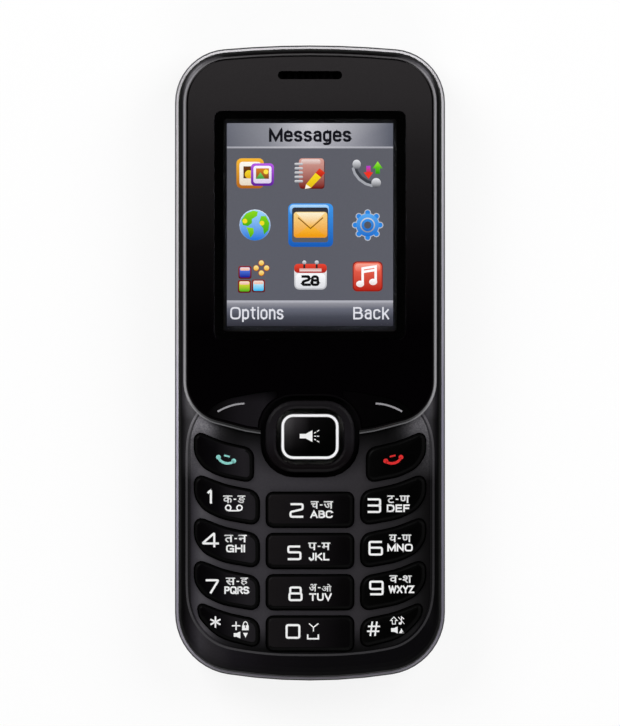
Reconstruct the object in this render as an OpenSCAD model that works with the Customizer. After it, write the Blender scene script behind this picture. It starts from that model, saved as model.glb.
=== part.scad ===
// Candy-bar feature phone, lying on its back with the screen up.
// Millimetres. X runs across, Y towards the earpiece, Z out of the screen.

/* [Body] */
// Width across the trim band
body_w = 45.9; // [45:0.1:50]
// Length from end to end
body_l = 108; // [107:0.5:116]
// Thickness from the back to the top of the navigation ring
body_t = 14; // [13.8:0.1:15.5]
// Radius of the two corners beside the earpiece
top_corner_r = 9.1; // [8:0.1:10.5]
// Radius of the two corners beside the chin
bottom_corner_r = 10.6; // [9.8:0.1:11.5]
// Radius of the gentle curve along the top end
top_crown_r = 165; // [130:1:220]
// Radius of the curve along the bottom end
bottom_crown_r = 92; // [80:1:120]

/* [Shells] */
// Wall of the front and rear housings
wall = 1.2; // [1:0.05:1.4]
// Wall of the battery cover and of the closed upper back
cover_t = 0.9; // [0.8:0.05:1.1]
// Height of the silver trim band
band_h = 4.5; // [4.3:0.1:4.9]
// Wall of the trim band
band_t = 1.2; // [1:0.05:1.3]
// Step from the trim band in to the front housing
band_step = 0.6; // [0.4:0.05:0.7]
// Open line left between two shells
seam = 0.05; // [0.03:0.01:0.1]
// Distance from the battery up to the middle of the battery cover's upper edge
cover_over = 9; // [8.5:0.1:9.5]
// Radius of the battery cover's arched upper edge
cover_arch_r = 60; // [50:1:80]
// Thickness of the front housing's top plate
plate_t = 1.6; // [1.5:0.05:1.8]

/* [Fascia] */
// Thickness of the glossy fascia
fascia_t = 1.2; // [1:0.05:1.4]
// Distance from the body's side in to the fascia
fascia_inset = 1.45; // [1.3:0.05:1.7]
// Distance from the navigation ring's middle down to the fascia's lowest point
fascia_below = 0.25; // [0:0.05:0.6]
// Radius of the fascia's lower corners
fascia_corner_r = 7.5; // [6.5:0.1:8.5]
// Radius of the fascia's lower curve
fascia_crown_r = 54; // [48:1:62]
// Width and depth of the bevel round the fascia
fascia_bevel = 0.55; // [0.3:0.05:0.7]
// Depth of the fascia below the navigation ring
fascia_step = 0.4; // [0.3:0.05:0.5]

/* [Display] */
// Border of the clear lens beside the lit screen
lens_side = 2.1; // [1.8:0.05:2.4]
// Border of the clear lens above and below the lit screen
lens_end = 1.85; // [1.6:0.05:2.1]
// Corner radius of the clear lens
lens_r = 1.1; // [0.6:0.1:2]
// Distance from the top end down to the middle of the lens
lens_drop = 30.6; // [30.2:0.1:31]
// Gap between the lens and the fascia
lens_gap = 0.1; // [0.05:0.01:0.15]
// Width of the lit screen area
screen_w = 28.2; // [27:0.1:28.6]
// Height of the lit screen area
screen_h = 34.9; // [33.5:0.1:35.3]
// Border of the display panel's glass round the lit area
panel_border = 1.9; // [1.5:0.05:2.1]
// Wall of the tray that holds the display panel
tray_wall = 0.5; // [0.4:0.05:0.6]
// Thickness of the display panel
panel_t = 1.8; // [1.5:0.05:2]
// Length of the sound slot over the earpiece
slot_w = 10.9; // [9:0.1:12]
// Height of the sound slot over the earpiece
slot_h = 1.4; // [1:0.05:1.8]
// Distance from the top end down to the sound slot
slot_drop = 5.15; // [4.9:0.05:5.4]

/* [Keypad] */
// Distance from the body's side in to the keypad frame
keypad_side = 2.6; // [2.4:0.05:2.8]
// Distance from the bottom end up to the keypad frame
keypad_rise = 4.1; // [3.8:0.05:4.3]
// Radius of the keypad frame's lower corners
keypad_corner_r = 9.2; // [8.5:0.1:9.8]
// Radius of the keypad frame's lower curve
keypad_crown_r = 54; // [48:1:62]
// Thickness of the keypad frame
frame_t = 1.0; // [0.9:0.05:1.1]
// Ledge in the front housing under the keypad frame
frame_ledge = 0.65; // [0.5:0.05:0.7]
// Gap round each key in its well
key_gap = 0.2; // [0.12:0.01:0.3]
// Lip of each key that reaches under the keypad frame
key_lip = 0.2; // [0.1:0.05:0.3]
// Thickness of that lip
key_lip_t = 0.9; // [0.7:0.05:1]
// Height of the keys above the keypad frame
key_rise = 0.85; // [0.6:0.05:1.1]
// Width and height of a key's rounded shoulder
key_shoulder = 0.45; // [0.3:0.05:0.6]
// Crown in the middle of a key
key_crown = 0.15; // [0.05:0.05:0.3]
// How far a key goes down
key_travel = 0.4; // [0.2:0.05:0.4]
// Radius of the stem under each key
stem_r = 1.0; // [0.8:0.05:1.1]
// Width of the keys in the middle column
mid_key_w = 15.1; // [14.6:0.1:15.4]
// Corner radius of the keys in the middle column
mid_key_r = 1.3; // [0.8:0.1:2]
// Web between the keys of the middle column
mid_web = 0.8; // [0.7:0.05:1]
// Web between the navigation ring's well and the middle column
mid_top_web = 2.37; // [2.2:0.01:2.6]
// Rim of the keypad frame below the middle column
mid_rim = 0.88; // [0.8:0.02:1]
// Distance from the navigation ring's middle down to the outer corner of the first number row
side_below = 5.95; // [5.85:0.05:6.1]
// Distance from the keypad frame's lower edge up to the lowest side keys
side_low_rim = 1.35; // [1.3:0.05:1.6]
// Rim of the keypad frame beside the side keys
side_rim = 0.6; // [0.5:0.05:1]
// Web between the middle column and the side keys
column_web = 0.92; // [0.85:0.01:1.2]
// Distance from the navigation ring out to the call and end keys
call_web = 1.92; // [1.85:0.01:2.4]

/* [Navigation keys] */
// Width of the navigation ring
nav_w = 15.1; // [14.6:0.1:15.4]
// Height of the navigation ring
nav_h = 12.2; // [11.8:0.1:12.4]
// Corner radius of the navigation ring
nav_r = 4.9; // [4.2:0.1:5.4]
// Gap round the navigation ring
nav_gap = 0.85; // [0.7:0.05:0.9]
// Height of the navigation ring's middle above the bottom end
nav_rise = 41.5; // [41.2:0.05:41.8]
// Width of the ring's band at its sides
nav_side = 1.8; // [1.6:0.05:2]
// Width of the ring's band at its top and bottom
nav_end = 1.4; // [1.2:0.05:1.6]
// Corner radius of the navigation ring's opening
nav_hole_r = 3.4; // [2.8:0.1:3.8]
// Tilt of the navigation ring each way, in degrees
nav_tilt = 2; // [1:0.1:2]
// Gap between the select key and the navigation ring
select_gap = 0.79; // [0.7:0.01:0.9]
// Corner radius of the select key
select_r = 2.1; // [1.6:0.1:2.4]
// Width of the bright ring set into the select key
select_line = 0.6; // [0.4:0.05:0.8]
// Rim of the fascia below the soft keys
soft_rim = 0.9; // [0.8:0.05:1]
// Radius of the arc over the soft keys
soft_arc_r = 60; // [54:1:66]
// Distance from the navigation ring's middle up to the top of that arc
soft_over = 8.3; // [8.1:0.05:8.5]
// Distance from the middle to the soft keys' inner end
soft_inner = 5.5; // [5:0.1:6.5]
// Web between the soft keys and the navigation ring's well
soft_web = 0.45; // [0.35:0.05:0.6]
// Gap round the soft keys
soft_gap = 0.1; // [0.08:0.01:0.15]

/* [Electronics] */
// Thickness of the main board
board_t = 1.0; // [0.8:0.05:1.1]
// Room between the main board and the front housing's top plate
board_room = 2.8; // [2.8:0.05:3]
// Gap between the main board and the rear housing's wall
board_gap = 0.15; // [0.1:0.05:0.3]
// Battery width
battery_w = 34; // [32:0.1:34.4]
// Battery length
battery_l = 53; // [50:0.1:53.4]
// Gap round the battery in its bay
battery_gap = 0.3; // [0.2:0.05:0.4]
// Wall of the battery bay
bay_wall = 1.1; // [0.9:0.05:1.2]
// Height of the battery's lower end above the bottom end
battery_rise = 13; // [12.8:0.1:13.4]
// Thickness of the floor over the battery
floor_t = 0.75; // [0.6:0.05:0.8]
// Radius of the headset jack's bore
jack_r = 1.75; // [1.7:0.01:1.8]
// Length of the headset jack's bore
jack_l = 10.5; // [9:0.1:10.5]
// Distance of the headset jack from the middle
jack_x = 12; // [11.6:0.1:12.4]
// Width of the data socket's shell
usb_w = 7.6; // [7:0.1:8]
// Height of the data socket's shell
usb_h = 2.6; // [2.4:0.05:2.8]
// Radius of the torch lens
torch_r = 1.5; // [1.2:0.05:1.7]
// Distance of the torch from the middle
torch_x = 12; // [11.5:0.1:12.5]
// Radius of the camera window
camera_r = 3.2; // [2.8:0.05:3.6]
// Distance from the top end down to the camera
camera_drop = 14; // [13.8:0.1:14.3]
// Radius of the housing screws
screw_r = 0.65; // [0.6:0.01:0.7]
// Radius of the screw heads
head_r = 1.25; // [1.1:0.05:1.3]
// Radius of the vibration motor
motor_r = 2; // [1.8:0.05:2.1]

/* [Hidden] */
$fn = 64;
// Small overlap that joins solids of one piece, and passes cuts clear of a face
bite = 0.2;
// Straight pieces that make a rounded corner and a crowned end
corner_steps = 11;
crown_steps = 6;

half_w = body_w / 2;
top_y = body_l / 2;
bottom_y = -body_l / 2;

// The layout is drawn for a body of this width and length, and stretches with the body
drawn_w = 45.9;
drawn_l = 108;
across = body_w / drawn_w;
along = body_l / drawn_l;
fit = min(across, along);
screen_x = screen_w * across;
screen_y = screen_h * along;
lens_x = screen_x + 2 * lens_side;
lens_l = screen_y + 2 * lens_end;
slot_x = slot_w * across;
mid_key_x = mid_key_w * across;
nav_x = nav_w * across;
nav_l = nav_h * along;
nav_hole_x = nav_x - 2 * nav_side;
nav_hole_l = nav_l - 2 * nav_end;
select_x = nav_hole_x - 2 * select_gap;
select_l = nav_hole_l - 2 * select_gap;
bay_x = battery_w * across;
bay_y = battery_l * along;

// How far cuts run out past the body
past = 1;
// Facets of the large arcs
arc_fn = 180;

// Stack between the shells
band_over = 0.2;
board_post_h = 0.7;
battery_under = 0.1;
battery_above = 0.15;
gasket_t = 0.35;
tray_h = 2.2;
lens_sink = 0.05;

// Under the keys: gaps of the lips, domes, rubber sheet and stems
lip_gap = 0.05;
lip_side_gap = 0.15;
dome_h = 0.3;
dome_r = 1.9;
dome_top_r = 0.7;
mat_gap = 0.3;
mat_t = 0.5;
mat_side_gap = 0.5;
mat_rim = 0.6;
stem_gap = 0.05;
stem_side_gap = 0.35;

// Heights, counted down from the front
fascia_z1 = body_t - fascia_step;
housing_z1 = fascia_z1 - fascia_t;
frame_z0 = housing_z1 - frame_t;
plate_z0 = housing_z1 - plate_t;
board_z1 = plate_z0 - board_room;
board_z0 = board_z1 - board_t;
band_z1 = board_z1 + band_over;
band_z0 = band_z1 - band_h;
floor_z1 = board_z0 - board_post_h;
floor_z0 = floor_z1 - floor_t;
back_z1 = band_z0 - seam;
lip_z1 = frame_z0 - lip_gap;
lip_z0 = lip_z1 - key_lip_t;
stem_z0 = board_z1 + dome_h + key_travel + stem_gap;
mat_z0 = board_z1 + dome_h + mat_gap;
mat_z1 = mat_z0 + mat_t;
key_z1 = housing_z1 + key_rise;
battery_z0 = cover_t + battery_under;
battery_z1 = floor_z0 - battery_above;

// Outlines: half width, top, bottom, top corner, bottom corner, top crown, bottom crown
body_spec = [half_w, top_y, bottom_y, top_corner_r, bottom_corner_r, top_crown_r, bottom_crown_r];
nav_y = bottom_y + nav_rise * along;
soft_arc_y = nav_y + soft_over * along;
fascia_spec = [half_w - fascia_inset, top_y - fascia_inset, nav_y - fascia_below,
               top_corner_r - fascia_inset, fascia_corner_r * fit,
               top_crown_r - fascia_inset, fascia_crown_r];
keypad_top_r = 9;
keypad_over = 0.6;
keypad_top = soft_arc_y + keypad_over;
keypad_low = bottom_y + keypad_rise * along;
keypad_spec = [half_w - keypad_side, keypad_top, keypad_low,
               keypad_top_r, keypad_corner_r * fit, soft_arc_r, keypad_crown_r];

// Places
lens_y = top_y - lens_drop * along;
slot_y = top_y - slot_drop * along;
battery_y0 = bottom_y + battery_rise * along;
battery_y1 = battery_y0 + bay_y;
cover_y = battery_y1 + cover_over * along;
arch_y = cover_y - cover_arch_r;
camera_y = top_y - camera_drop * along;
camera_box = 8;
jack_at = -jack_x * across;
jack_w = 6;
jack_h = 4.6;
jack_end = 1;
jack_back = 0.25;
jack_room = 0.1;
jack_z = board_z1 - jack_h / 2;
// The top end curves away from the middle, so the jack's mouth lies behind its outer edge
jack_drop = top_crown_r - sqrt(pow(top_crown_r, 2) - pow(jack_x * across + jack_w / 2, 2));
jack_y1 = top_y - band_t - jack_drop - jack_back;
usb_l = 5.4;
usb_back = 0.2;
usb_room = 0.3;
usb_under = 0.2;
usb_y0 = bottom_y + band_t + usb_back;
torch_at = torch_x * across;
torch_back = 0.9;
torch_under = 0.1;
torch_gap = 0.08;
torch_lens_l = 2.25;
torch_y = top_y - band_t - wall - torch_back;
torch_z = board_z0 - torch_r - torch_under;
mic_x = 9;
mic_r = 1.9;
mic_back = 1.1;
mic_hole_r = 0.5;
mic_hole_drop = 1;
mic_y = bottom_y + band_t + wall + mic_r + mic_back;

// Room in the upper back between the battery cover and the camera
head_l = camera_y - camera_box / 2 - cover_y;
motor_l = 9;
motor_x = 4;
motor_gap = 0.3;
motor_at = [motor_x * across, cover_y + 0.43 * head_l, board_z0 - motor_r - motor_gap];
speaker_x = 9.5;
speaker_box = 15;
speaker_w = speaker_box * across;
speaker_l = 0.73 * head_l;
speaker_at = [-speaker_x * across, cover_y + speaker_l / 2];
speaker_slot = 0.9;
shield_h = 1.5;
shield_wall = 0.25;
shield_box = 18;
shield_w = shield_box * across;
shield_over = 1.8;
shield_l = head_l + shield_over;
antenna_x = 13;
antenna_over = 2;
antenna_w = 12;
antenna_l = 9;
antenna_h = 2.6;
ear_w = 12;
ear_l = 4.2;
ear_below = 0.3;
ear_port_in = 1;
ear_port_h = 0.5;
grille_rim = 0.8;
grille_seat = 0.45;
grille_sink = 0.1;
window_gap = 0.6;
contact_w = 8.6;
contact_room = 0.3;

// Screws: two beside the battery's upper end, two outside the keypad's lower corners
boss_r = 1.2;
boss_gap = 0.05;
thread_l = 2.1;
thread_end = 0.1;
thread_gap = 0.03;
screw_gap = 0.08;
head_over = 0.6;
head_t = 0.8;
head_z1 = floor_z0 - head_over;
head_z0 = head_z1 - head_t;
seat_wall = 0.6;
upper_screw_out = 0.9;
upper_screw_over = 2.7;
upper_screw_x = bay_x / 2 + battery_gap + upper_screw_out;
upper_screw_y = battery_y1 + upper_screw_over;
low_screw_a = 67;
low_screw_d = keypad_spec[4] - frame_ledge + boss_r + boss_gap;
low_corner_x = keypad_spec[0] - keypad_spec[4];
low_corner_y = keypad_low + keypad_crown_r
               - sqrt(pow(keypad_crown_r - keypad_spec[4], 2) - pow(low_corner_x, 2));
lower_screw_x = low_corner_x + low_screw_d * cos(low_screw_a);
lower_screw_y = low_corner_y - low_screw_d * sin(low_screw_a);
SCREWS = [[-upper_screw_x, upper_screw_y], [upper_screw_x, upper_screw_y],
          [-lower_screw_x, lower_screw_y], [lower_screw_x, lower_screw_y]];

nav_well_w = nav_x + 2 * nav_gap;
nav_well_h = nav_l + 2 * nav_gap;
nav_well_r = nav_r + nav_gap;
nav_catch = 0.3;
nav_lip = nav_gap + nav_catch;
nav_lip_t = 0.55;
// Room that the ring's lip needs above and below itself when it tilts both ways at once
nav_reach = (nav_x + nav_l) / 2 + 2 * nav_lip - (2 - sqrt(2)) * (nav_r + nav_lip);
tilt_gap = 0.06;
tilt_room = sin(nav_tilt) * nav_reach + tilt_gap;
nav_lip_z1 = frame_z0 - tilt_room;
nav_lip_z0 = nav_lip_z1 - nav_lip_t;

// Round ribs that the ring rocks on, and the plate with its own ribs below
rod_gap = 0.03;
ring_axis_rise = 0.05;
ring_axis_z = nav_lip_z0 + ring_axis_rise;
ring_rod_r = 0.42;
ring_rod_l = 1.4;
ring_rod_in = 0.4;
rocker_t = 0.5;
rocker_in = 0.7;
rocker_z1 = ring_axis_z - ring_rod_r - rod_gap;
rocker_z0 = rocker_z1 - rocker_t;
rocker_w = nav_x - 2 * rocker_in;
rocker_h = nav_l - 2 * rocker_in;
rocker_axis_rise = 0.1;
rocker_axis_z = rocker_z0 + rocker_axis_rise;
rocker_rod_r = rocker_axis_z - mat_z1 - rod_gap;
rocker_rod_l = 2;

// Back form: height as a share of the shell, inset at the sides, inset at the ends
BACK = [[0, 3.4, 4.4], [0.055, 2.2, 3.0], [0.22, 1.1, 1.6], [0.47, 0.5, 0.75], [0.74, 0.25, 0.3],
        [1, 0.2, 0.2]];
// Front form: height as a share of the shell, inset at the sides, extra inset at the chin
FRONT = [[0, 0, 0], [0.35, 0, 0], [0.68, 0.12, 0.15], [0.86, 0.37, 0.5], [0.95, 0.62, 1.0],
         [1, 0.9, 1.7]];
// Band form: height as a share of the band, inset
BAND = [[0, 0.22], [0.12, 0], [0.88, 0], [1, 0.3]];

// Side key: share of the way from its outer to its inner edge, drop as a share of the row spacing
SIDE_KEY = [[0, 0], [0, 0.579], [0.137, 0.909], [0.424, 1.123], [1, 1.281], [1, 0.455], [0.47, 0.289]];
// Lowest side key, cut to the round lower corner of the keypad frame
LOW_KEY = [[0.04, 0.01], [0.062, 0.401], [0.349, 0.897], [1, 1.146], [1, 0.455], [0.49, 0.289]];
// Their fillets as shares of the key's width
SIDE_KEY_R = [0.115, 0.355, 0.4, 0.975, 0.133, 0.195, 1.6];
LOW_KEY_R = [0.08, 0.31, 0.71, 0.115, 0.195, 1.77];

// Rows: the middle column fills the room under the navigation ring, the side columns hang beside it
rows = 4;
mid_top = nav_y - nav_well_h / 2 - mid_top_web * along;
mid_pitch = (mid_top - keypad_low - mid_rim + mid_web) / rows;
mid_key_l = mid_pitch - mid_web;
side_top = nav_y - side_below * along;
side_pitch = (side_top - keypad_low - side_low_rim) / (rows - 1 + LOW_KEY[3][1]);
side_outer = half_w - keypad_side - side_rim;
side_inner = mid_key_x / 2 + column_web;
call_inner = nav_x / 2 + call_web;

// Outlines made of arcs

function arc(c, r, a, b, n) =
    [for (i = [0:n]) let (t = a + (b - a) * i / n) c + r * [cos(t), sin(t)]];

function inner_arc(c, r, a, b, n) =
    [for (i = [1:n - 1]) let (t = a + (b - a) * i / n) c + r * [cos(t), sin(t)]];

// Straight sides, crowned ends and round corners that all meet tangentially, moved inwards by d
function crowned(s, d = 0) =
    let (xt = s[0] - s[3],
         ot = s[1] - s[5],
         yt = ot + sqrt(pow(s[5] - s[3], 2) - xt * xt),
         at = atan2(yt - ot, xt),
         xb = s[0] - s[4],
         ob = s[2] + s[6],
         yb = ob - sqrt(pow(s[6] - s[4], 2) - xb * xb),
         ab = atan2(ob - yb, xb))
    concat(arc([xt, yt], s[3] - d, 0, at, corner_steps),
           inner_arc([0, ot], s[5] - d, at, 180 - at, crown_steps),
           arc([-xt, yt], s[3] - d, 180 - at, 180, corner_steps),
           arc([-xb, yb], s[4] - d, 180, 180 + ab, corner_steps),
           inner_arc([0, ob], s[6] - d, 180 + ab, 360 - ab, crown_steps),
           arc([xb, yb], s[4] - d, 360 - ab, 360, corner_steps));

// The same kind of outline with its own inset at the sides, the top and the bottom
function drawn_in(s, side, top, bottom) =
    [s[0] - side, s[1] - top, s[2] + bottom, s[3] - side, s[4] - side, s[5] - top, s[6] - bottom];

function unit(v) = v / norm(v);

function corner_arc(a, p, b, r, n) =
    let (u = unit(a - p),
         v = unit(b - p),
         half = acos(u * v) / 2,
         c = p + unit(u + v) * r / sin(half),
         s = p + u * r / tan(half) - c,
         e = p + v * r / tan(half) - c,
         t = atan2(s[1], s[0]))
    arc(c, r, t, t + atan2(s[0] * e[1] - s[1] * e[0], s * e), n);

function before(p, i) = p[(i + len(p) - 1) % len(p)];
function after(p, i) = p[(i + 1) % len(p)];

// Polygon with a fillet at each corner
function rounded(p, r, n = 4) =
    [for (i = [0:len(p) - 1]) each corner_arc(before(p, i), p[i], after(p, i), r[i], n)];

function inset_corner(a, p, b, d) =
    let (u = unit(p - a), v = unit(b - p), m = [-u[1], u[0]], k = [-v[1], v[0]])
    p + d * (m + k) / (1 + m * k);

// Filleted polygon moved inwards by d, with the fillets kept concentric
function inset_rounded(p, r, d, n = 4) =
    rounded([for (i = [0:len(p) - 1]) inset_corner(before(p, i), p[i], after(p, i), d)],
            [for (i = [0:len(p) - 1]) r[i] - d * sign(cross(p[i] - before(p, i), after(p, i) - p[i]))],
            n);

function rectangle(w, h, c = [0, 0]) =
    [c + [w / 2, -h / 2], c + [w / 2, h / 2], c + [-w / 2, h / 2], c + [-w / 2, -h / 2]];

function pill(w, h, r, c = [0, 0], n = 6) = rounded(rectangle(w, h, c), [r, r, r, r], n);

// Sound slot grown by d; its ends stop just short of half circles
slot_r = 0.486 * slot_h;
function slot_outline(d) = pill(slot_x + 2 * d, slot_h + 2 * d, slot_r + d, [0, slot_y]);

function lifted(p, z) = [for (q = p) [q[0], q[1], z]];

function middle(p) = [for (k = [0:2]) [for (q = p) q[k]] * [for (q = p) 1] / len(p)];

// Solids made from outlines

module plate(p, z0, z1) {
    translate([0, 0, z0])
        linear_extrude(z1 - z0)
            polygon(p);
}

module block(w, l, z0, z1, at = [0, 0]) {
    translate([at[0] - w / 2, at[1] - l / 2, z0])
        cube([w, l, z1 - z0]);
}

module post(r, z0, z1, at = [0, 0]) {
    translate([at[0], at[1], z0])
        cylinder(r = r, h = z1 - z0);
}

// Cylinder along Y
module bar_y(r, y0, y1, x, z) {
    translate([x, y0, z])
        rotate([-90, 0, 0])
            cylinder(r = r, h = y1 - y0);
}

// Cylinder along X
module bar_x(r, x0, x1, y, z) {
    translate([x0, y, z])
        rotate([0, 90, 0])
            cylinder(r = r, h = x1 - x0);
}

function band_faces(n, k, j) =
    [for (i = [0:n - 1]) let (h = (i + 1) % n)
        each [[k * n + i, j * n + i, j * n + h], [k * n + i, j * n + h, k * n + h]]];

// Skin through a stack of outlines, closed at both ends; crown lifts the middle of the last one
module loft(rings, crown = 0) {
    n = len(rings[0]);
    m = len(rings);
    polyhedron(
        points = concat([for (r = rings) each r],
                        [middle(rings[0]), middle(rings[m - 1]) + [0, 0, crown]]),
        faces = concat([for (k = [0:m - 2]) each band_faces(n, k, k + 1)],
                       [for (i = [0:n - 1]) [m * n, i, (i + 1) % n]],
                       [for (i = [0:n - 1]) [m * n + 1, (m - 1) * n + (i + 1) % n, (m - 1) * n + i]]));
}

// Skin through a closed loop of outlines, which leaves a hole through the middle
module ring_loft(rings) {
    n = len(rings[0]);
    m = len(rings);
    polyhedron(
        points = [for (r = rings) each r],
        faces = [for (k = [0:m - 1]) each band_faces(n, k, (k + 1) % m)]);
}

// Shells

// Rounded back of the phone, shrunk by d on the inside
module back_form(d, z_extra = 0) {
    rings = [for (b = BACK)
        lifted(crowned(drawn_in(body_spec, b[1] + d, b[2] + d, b[2] + d)),
               b[0] * back_z1 + d * (1 - b[0]))];
    lid = [for (q = rings[len(rings) - 1]) q + [0, 0, z_extra]];
    loft(z_extra > 0 ? concat(rings, [lid]) : rings);
}

module back_skin() {
    difference() {
        back_form(0);
        back_form(cover_t, bite);
    }
}

module cover_region(extra) {
    translate([0, arch_y, -bite])
        cylinder(r = cover_arch_r + extra, h = body_t, $fn = arc_fn);
}

module keypad_opening(z0, z1, d) {
    plate(crowned(keypad_spec, d), z0, z1);
}

module front_form() {
    rise = housing_z1 - band_z1 - seam;
    rings = [for (f = FRONT)
        let (d = band_step + f[1])
        lifted(crowned(drawn_in(body_spec, d, d, d + f[2])), band_z1 + seam + f[0] * rise)];
    loft(rings);
}

module front_housing() {
    color([0.06, 0.06, 0.065])
        difference() {
            union() {
                difference() {
                    front_form();
                    plate(crowned(body_spec, band_step + wall), 0, plate_z0);
                }
                for (s = SCREWS)
                    post(boss_r, board_z1, plate_z0 + bite, s);
            }
            // Window behind the lens
            plate(pill(screen_x + 2 * window_gap, screen_y + 2 * window_gap, window_gap, [0, lens_y]),
                  0, body_t);
            // Seat and opening of the keypad frame
            keypad_opening(frame_z0, body_t, 0);
            keypad_opening(plate_z0 - bite, frame_z0 + bite, frame_ledge);
            // Sound slot with the seat of its grille
            plate(slot_outline(0), 0, body_t);
            plate(slot_outline(grille_rim), housing_z1 - grille_seat, body_t);
            for (s = SCREWS)
                post(screw_r + thread_gap, board_z1 - bite, board_z1 + thread_l + thread_end, s);
        }
}

module trim_band() {
    color([0.72, 0.71, 0.78])
        difference() {
            loft([for (b = BAND) lifted(crowned(body_spec, b[1]), band_z0 + b[0] * band_h)]);
            plate(crowned(body_spec, band_t), band_z0 - bite, band_z1 + bite);
            end_openings();
        }
}

// Holes through the ends for the jack, the torch, the data socket and the microphone
module end_openings() {
    bar_y(jack_r, jack_y1 - bite, top_y + past, jack_at, jack_z);
    bar_y(torch_r + torch_gap, torch_y - past, top_y + past, torch_at, torch_z);
    translate([-usb_w / 2 - usb_room, bottom_y - past, board_z0 - usb_h - usb_under])
        cube([usb_w + 2 * usb_room, usb_y0 + usb_l + usb_back - bottom_y + past, usb_h + 2 * usb_under]);
    bar_y(mic_hole_r, bottom_y - past, mic_y, mic_x, board_z0 - mic_hole_drop);
}

module rear_wall() {
    gap = band_t + seam;
    rib_h = 1.2;
    difference() {
        plate(crowned(body_spec, gap), band_z0, band_z1);
        plate(crowned(body_spec, gap + wall), band_z0 - bite, band_z1 + bite);
    }
    // Rib that ties the closed upper back to the wall
    difference() {
        union() {
            plate(crowned(body_spec, cover_t), back_z1 - rib_h, back_z1 - seam);
            plate(crowned(body_spec, gap), back_z1 - rib_h, back_z1 + bite);
        }
        plate(crowned(body_spec, gap + wall), back_z1 - rib_h - past, back_z1 + past);
        cover_region(seam);
    }
}

// Bay for the battery, with the floor over it that the main board lies on
module battery_bay() {
    bay_w = bay_x + 2 * battery_gap;
    bay_l = bay_y + 2 * battery_gap;
    mid = [0, battery_y0 + bay_y / 2];
    floor_over = 2;
    post_r = 0.8;
    post_out = 1;
    post_in = 3;
    difference() {
        union() {
            block(bay_w + 2 * bay_wall, bay_l + 2 * bay_wall, battery_z0, floor_z1, mid);
            intersection() {
                plate(crowned(body_spec, band_t + wall / 2), floor_z0, floor_z1);
                block(body_w, bay_l + 2 * (bay_wall + floor_over), floor_z0, floor_z1, mid);
            }
        }
        block(bay_w, bay_l, 0, floor_z0, mid);
        socket_openings();
    }
    // Posts that the main board rests on
    for (x = [-1, 1])
        for (y = [battery_y0 + post_in, battery_y1 - post_in])
            post(post_r, floor_z1 - bite, board_z0, [x * (bay_x / 2 + post_out), y]);
}

// Rails of the battery cover, and the ledges that they run over
rail_w = 1.7;
rail_z = 0.6 * back_z1;
rail_h = 0.2 * back_z1;
ledge_x1 = half_w - cover_t - rail_w;

// Ledges on the bay's sides that the battery cover's rails run on
module cover_ledges() {
    x0 = bay_x / 2 + battery_gap + bay_wall - bite;
    low_end = 5;
    high_end = 3;
    for (m = [0, 1])
        mirror([m, 0, 0])
            translate([x0, battery_y0 + low_end, rail_z])
                cube([ledge_x1 - x0, bay_y - low_end - high_end, rail_h]);
}

module screw_seats() {
    for (s = SCREWS)
        post(head_r + seat_wall, head_z0, board_z0, s);
    // Webs that tie the lower seats to the end wall
    intersection() {
        plate(crowned(body_spec, band_t + wall / 2), head_z0, board_z0);
        for (s = [SCREWS[2], SCREWS[3]])
            block(2 * head_r, 2 * (s[1] - bottom_y), head_z0, board_z0, [s[0], bottom_y]);
    }
}

module rear_housing() {
    color([0.09, 0.09, 0.095])
        difference() {
            union() {
                difference() {
                    back_skin();
                    cover_region(seam);
                }
                rear_wall();
                battery_bay();
                cover_ledges();
                screw_seats();
            }
            end_openings();
            // Gap in the wall that the headset jack stands in
            for (cut = [[jack_z - jack_h / 2 - jack_room, jack_y1 + seam],
                        [back_z1 + bite, top_y - band_t]])
                block(jack_w + 2 * jack_room, 3 * wall, cut[0], body_t, [jack_at, cut[1] - 1.5 * wall]);
            // Camera window and loudspeaker slots
            post(camera_r + seam, -past, cover_t + past, [0, camera_y]);
            for (k = [-1:1])
                plate(pill(0.6 * speaker_w, speaker_slot, 0.49 * speaker_slot,
                           speaker_at + [0, 0.2 * speaker_l * k]), -past, cover_t + past);
            for (s = SCREWS) {
                post(screw_r + screw_gap, 0, body_t, s);
                post(head_r + screw_gap, 0, head_z1, s);
            }
            // Slot for the battery contacts
            block(contact_w + 2 * contact_room, 2 * bay_wall + battery_gap, battery_z0 - bite, body_t,
                  [0, battery_y1 + battery_gap + bay_wall / 2]);
        }
}

module battery_cover() {
    catch = 0.6;
    rail_x0 = ledge_x1 - catch;
    rail_gap = 0.1;
    low_end = 9;
    high_end = 7;
    color([0.08, 0.08, 0.085]) {
        intersection() {
            back_skin();
            cover_region(0);
        }
        // Rails that hold the cover over the ledges
        for (m = [0, 1])
            mirror([m, 0, 0])
                translate([rail_x0, battery_y0 + low_end, rail_z + rail_h + rail_gap])
                    cube([half_w - cover_t - rail_x0, bay_y - low_end - high_end,
                          back_z1 - rail_z - rail_h - rail_gap - seam]);
    }
}

// Fascia and display

module fascia() {
    z = [housing_z1, fascia_z1 - fascia_bevel, fascia_z1];
    d = [0, 0, fascia_bevel];
    color([0.03, 0.03, 0.032])
        difference() {
            loft([for (k = [0:2]) lifted(crowned(fascia_spec, d[k]), z[k])]);
            plate(pill(lens_x + 2 * lens_gap, lens_l + 2 * lens_gap, lens_r + lens_gap, [0, lens_y]),
                  0, body_t);
            plate(slot_outline(0), 0, body_t);
            soft_wells();
            nav_well();
        }
}

module display_lens() {
    color([0.02, 0.02, 0.03, 0.5])
        plate(pill(lens_x, lens_l, lens_r, [0, lens_y]), housing_z1, fascia_z1 - lens_sink);
}

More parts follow.
